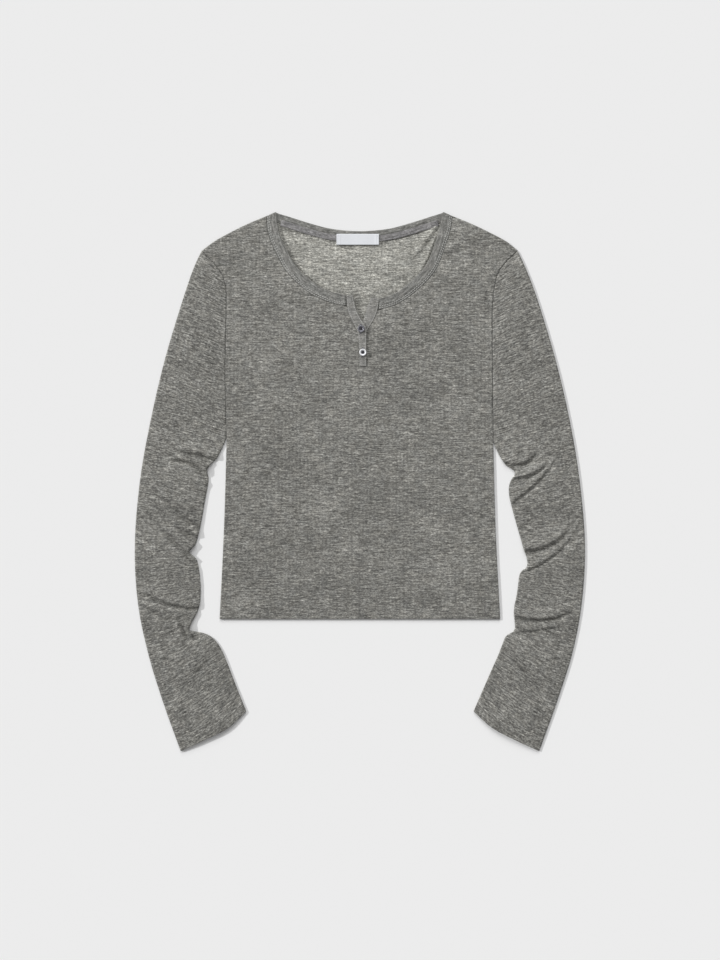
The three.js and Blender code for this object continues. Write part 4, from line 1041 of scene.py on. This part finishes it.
def resin(name, rim, well, centre):
    """Polished resin with soft clouds in it, its sunk middle darkened below the rim's colour with painted
    shade.
    """
    material = bpy.data.materials.new(name)
    material.use_nodes = True
    tree = material.node_tree
    skin = tree.nodes["Principled BSDF"]
    place = tree.nodes.new("ShaderNodeTexCoord")
    level = tree.nodes.new("ShaderNodeVectorMath")
    level.operation = "MULTIPLY"
    level.inputs[1].default_value = (1, 1, 0)
    outward = tree.nodes.new("ShaderNodeVectorMath")
    outward.operation = "DISTANCE"
    outward.inputs[1].default_value = (centre[0] * MM, centre[1] * MM, 0)
    ramp = tree.nodes.new("ShaderNodeMapRange")
    ramp.inputs["From Min"].default_value = 2.0 * MM
    ramp.inputs["From Max"].default_value = 2.9 * MM
    clouds = tree.nodes.new("ShaderNodeTexNoise")
    clouds.inputs["Scale"].default_value = 1 / (3 * MM)
    cloudy = tree.nodes.new("ShaderNodeMix")
    cloudy.data_type = "RGBA"
    cloudy.inputs["A"].default_value = (*tone(*(c * 0.93 for c in rim)), 1)
    cloudy.inputs["B"].default_value = (*tone(*rim), 1)
    both = tree.nodes.new("ShaderNodeMix")
    both.data_type = "RGBA"
    both.inputs["A"].default_value = (*tone(*well), 1)
    tree.links.new(place.outputs["Object"], level.inputs[0])
    tree.links.new(place.outputs["Object"], clouds.inputs["Vector"])
    tree.links.new(level.outputs["Vector"], outward.inputs[0])
    tree.links.new(outward.outputs["Value"], ramp.inputs["Value"])
    tree.links.new(clouds.outputs["Fac"], cloudy.inputs["Factor"])
    tree.links.new(ramp.outputs["Result"], both.inputs["Factor"])
    tree.links.new(cloudy.outputs["Result"], both.inputs["B"])
    tree.links.new(both.outputs["Result"], skin.inputs["Base Color"])
    skin.inputs["Roughness"].default_value = 0.22
    skin.inputs["Coat Weight"].default_value = 0.4
    return material


def turned_disc(radius, height, seat):
    """A lathe-turned button about the origin, pierced by its four holes."""
    middle = BUTTON["middle"] * radius
    outline = [
        (middle, 0.0), (0.72 * radius, 0.0), (0.88 * radius, 0.12), (0.96 * radius, 0.36),
        (radius, 0.62), (0.98 * radius, 0.82), (0.92 * radius, 0.95), (0.84 * radius, 1.0),
        (0.76 * radius, 0.96), (0.68 * radius, 0.82), (0.61 * radius, 0.70), (middle, BUTTON["well"]),
    ]
    mesh = bmesh.new()
    points = [mesh.verts.new((r * MM, 0, (seat + h * height) * MM)) for r, h in outline]
    edges = [mesh.edges.new(pair) for pair in zip(points, points[1:])]
    bmesh.ops.spin(mesh, geom=points + edges, cent=(0, 0, 0), axis=(0, 0, 1), angle=2 * math.pi,
                   steps=40, use_merge=True)
    bmesh.ops.remove_doubles(mesh, verts=mesh.verts, dist=1e-6)
    holes = {}
    aside = BUTTON["spread"] * MM * BUTTON["corner"]
    for share in (0.0, BUTTON["well"]):
        z = (seat + share * height) * MM
        rim = [e for e in mesh.edges if e.is_boundary and abs(e.verts[0].co.z - z) < 1e-6]
        circles = []
        for sx, sy in ((1, 1), (-1, 1), (-1, -1), (1, -1)):
            spot = Matrix.Translation((sx * aside, sy * aside, z))
            made = bmesh.ops.create_circle(
                mesh, cap_ends=False, segments=14, radius=BUTTON["hole"] * MM, matrix=spot)
            circles.append(list({e for v in made["verts"] for e in v.link_edges}))
        bmesh.ops.triangle_fill(mesh, edges=rim + sum(circles, []), use_beauty=True, use_dissolve=False)
        holes[share] = circles
    for low, high in zip(holes[0.0], holes[BUTTON["well"]]):
        bmesh.ops.bridge_loops(mesh, edges=low + high)
    bmesh.ops.recalc_face_normals(mesh, faces=mesh.faces)
    return mesh


button_seams = bmesh.new()
worked_edges = bmesh.new()
for name, look in BUTTONS.items():
    radius, height = BUTTON["width"] / 2, BUTTON["height"]
    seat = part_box(name)[0].z / MM
    centre = np.array((look["x"], look["y"]))
    disc = turned_disc(radius, height, seat)
    bmesh.ops.translate(disc, verts=disc.verts, vec=(look["x"] * MM, look["y"] * MM, 0))
    horn = resin(name + "_resin", look["rim"], look["well"], centre)
    made = piece(name + "_disc", disc, [horn])
    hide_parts(name)

    reach = BUTTON["spread"] * BUTTON["corner"]
    face = seat + BUTTON["well"] * height
    for sx, sy in ((1, 1), (-1, 1)):
        arch = [(centre[0] + sx * reach * t, centre[1] + sy * reach * t, face + 0.42 - 0.7 * t**4)
                for t in np.linspace(-1.1, 1.1, 9)]
        sew_row(button_seams, arch, 0.55, 0.9, 0.5)

    half, wide = BUTTONHOLE["half"], BUTTONHOLE["wide"]
    turns = np.linspace(0, 2 * np.pi, 49)
    hole = np.column_stack([
        look["x"] + look["lean"] + wide * np.cos(turns),
        look["y"] + np.sign(np.sin(turns)) * (half - wide) + wide * np.sin(turns)])
    inland = np.full(len(hole), 4.0)
    edge_rows = np.column_stack([hole, top_level(hole, inland) + 0.02])
    sew_row(worked_edges, edge_rows, 0.55, 1.5, 0.5, turned=True)
button_thread = thread_skin("button_thread", (45, 42, 50))
piece("button_stitches", button_seams, [button_thread])
buttonhole_thread = thread_skin("buttonhole_thread", (116, 116, 122))
piece("buttonhole_stitches", worked_edges, [buttonhole_thread])
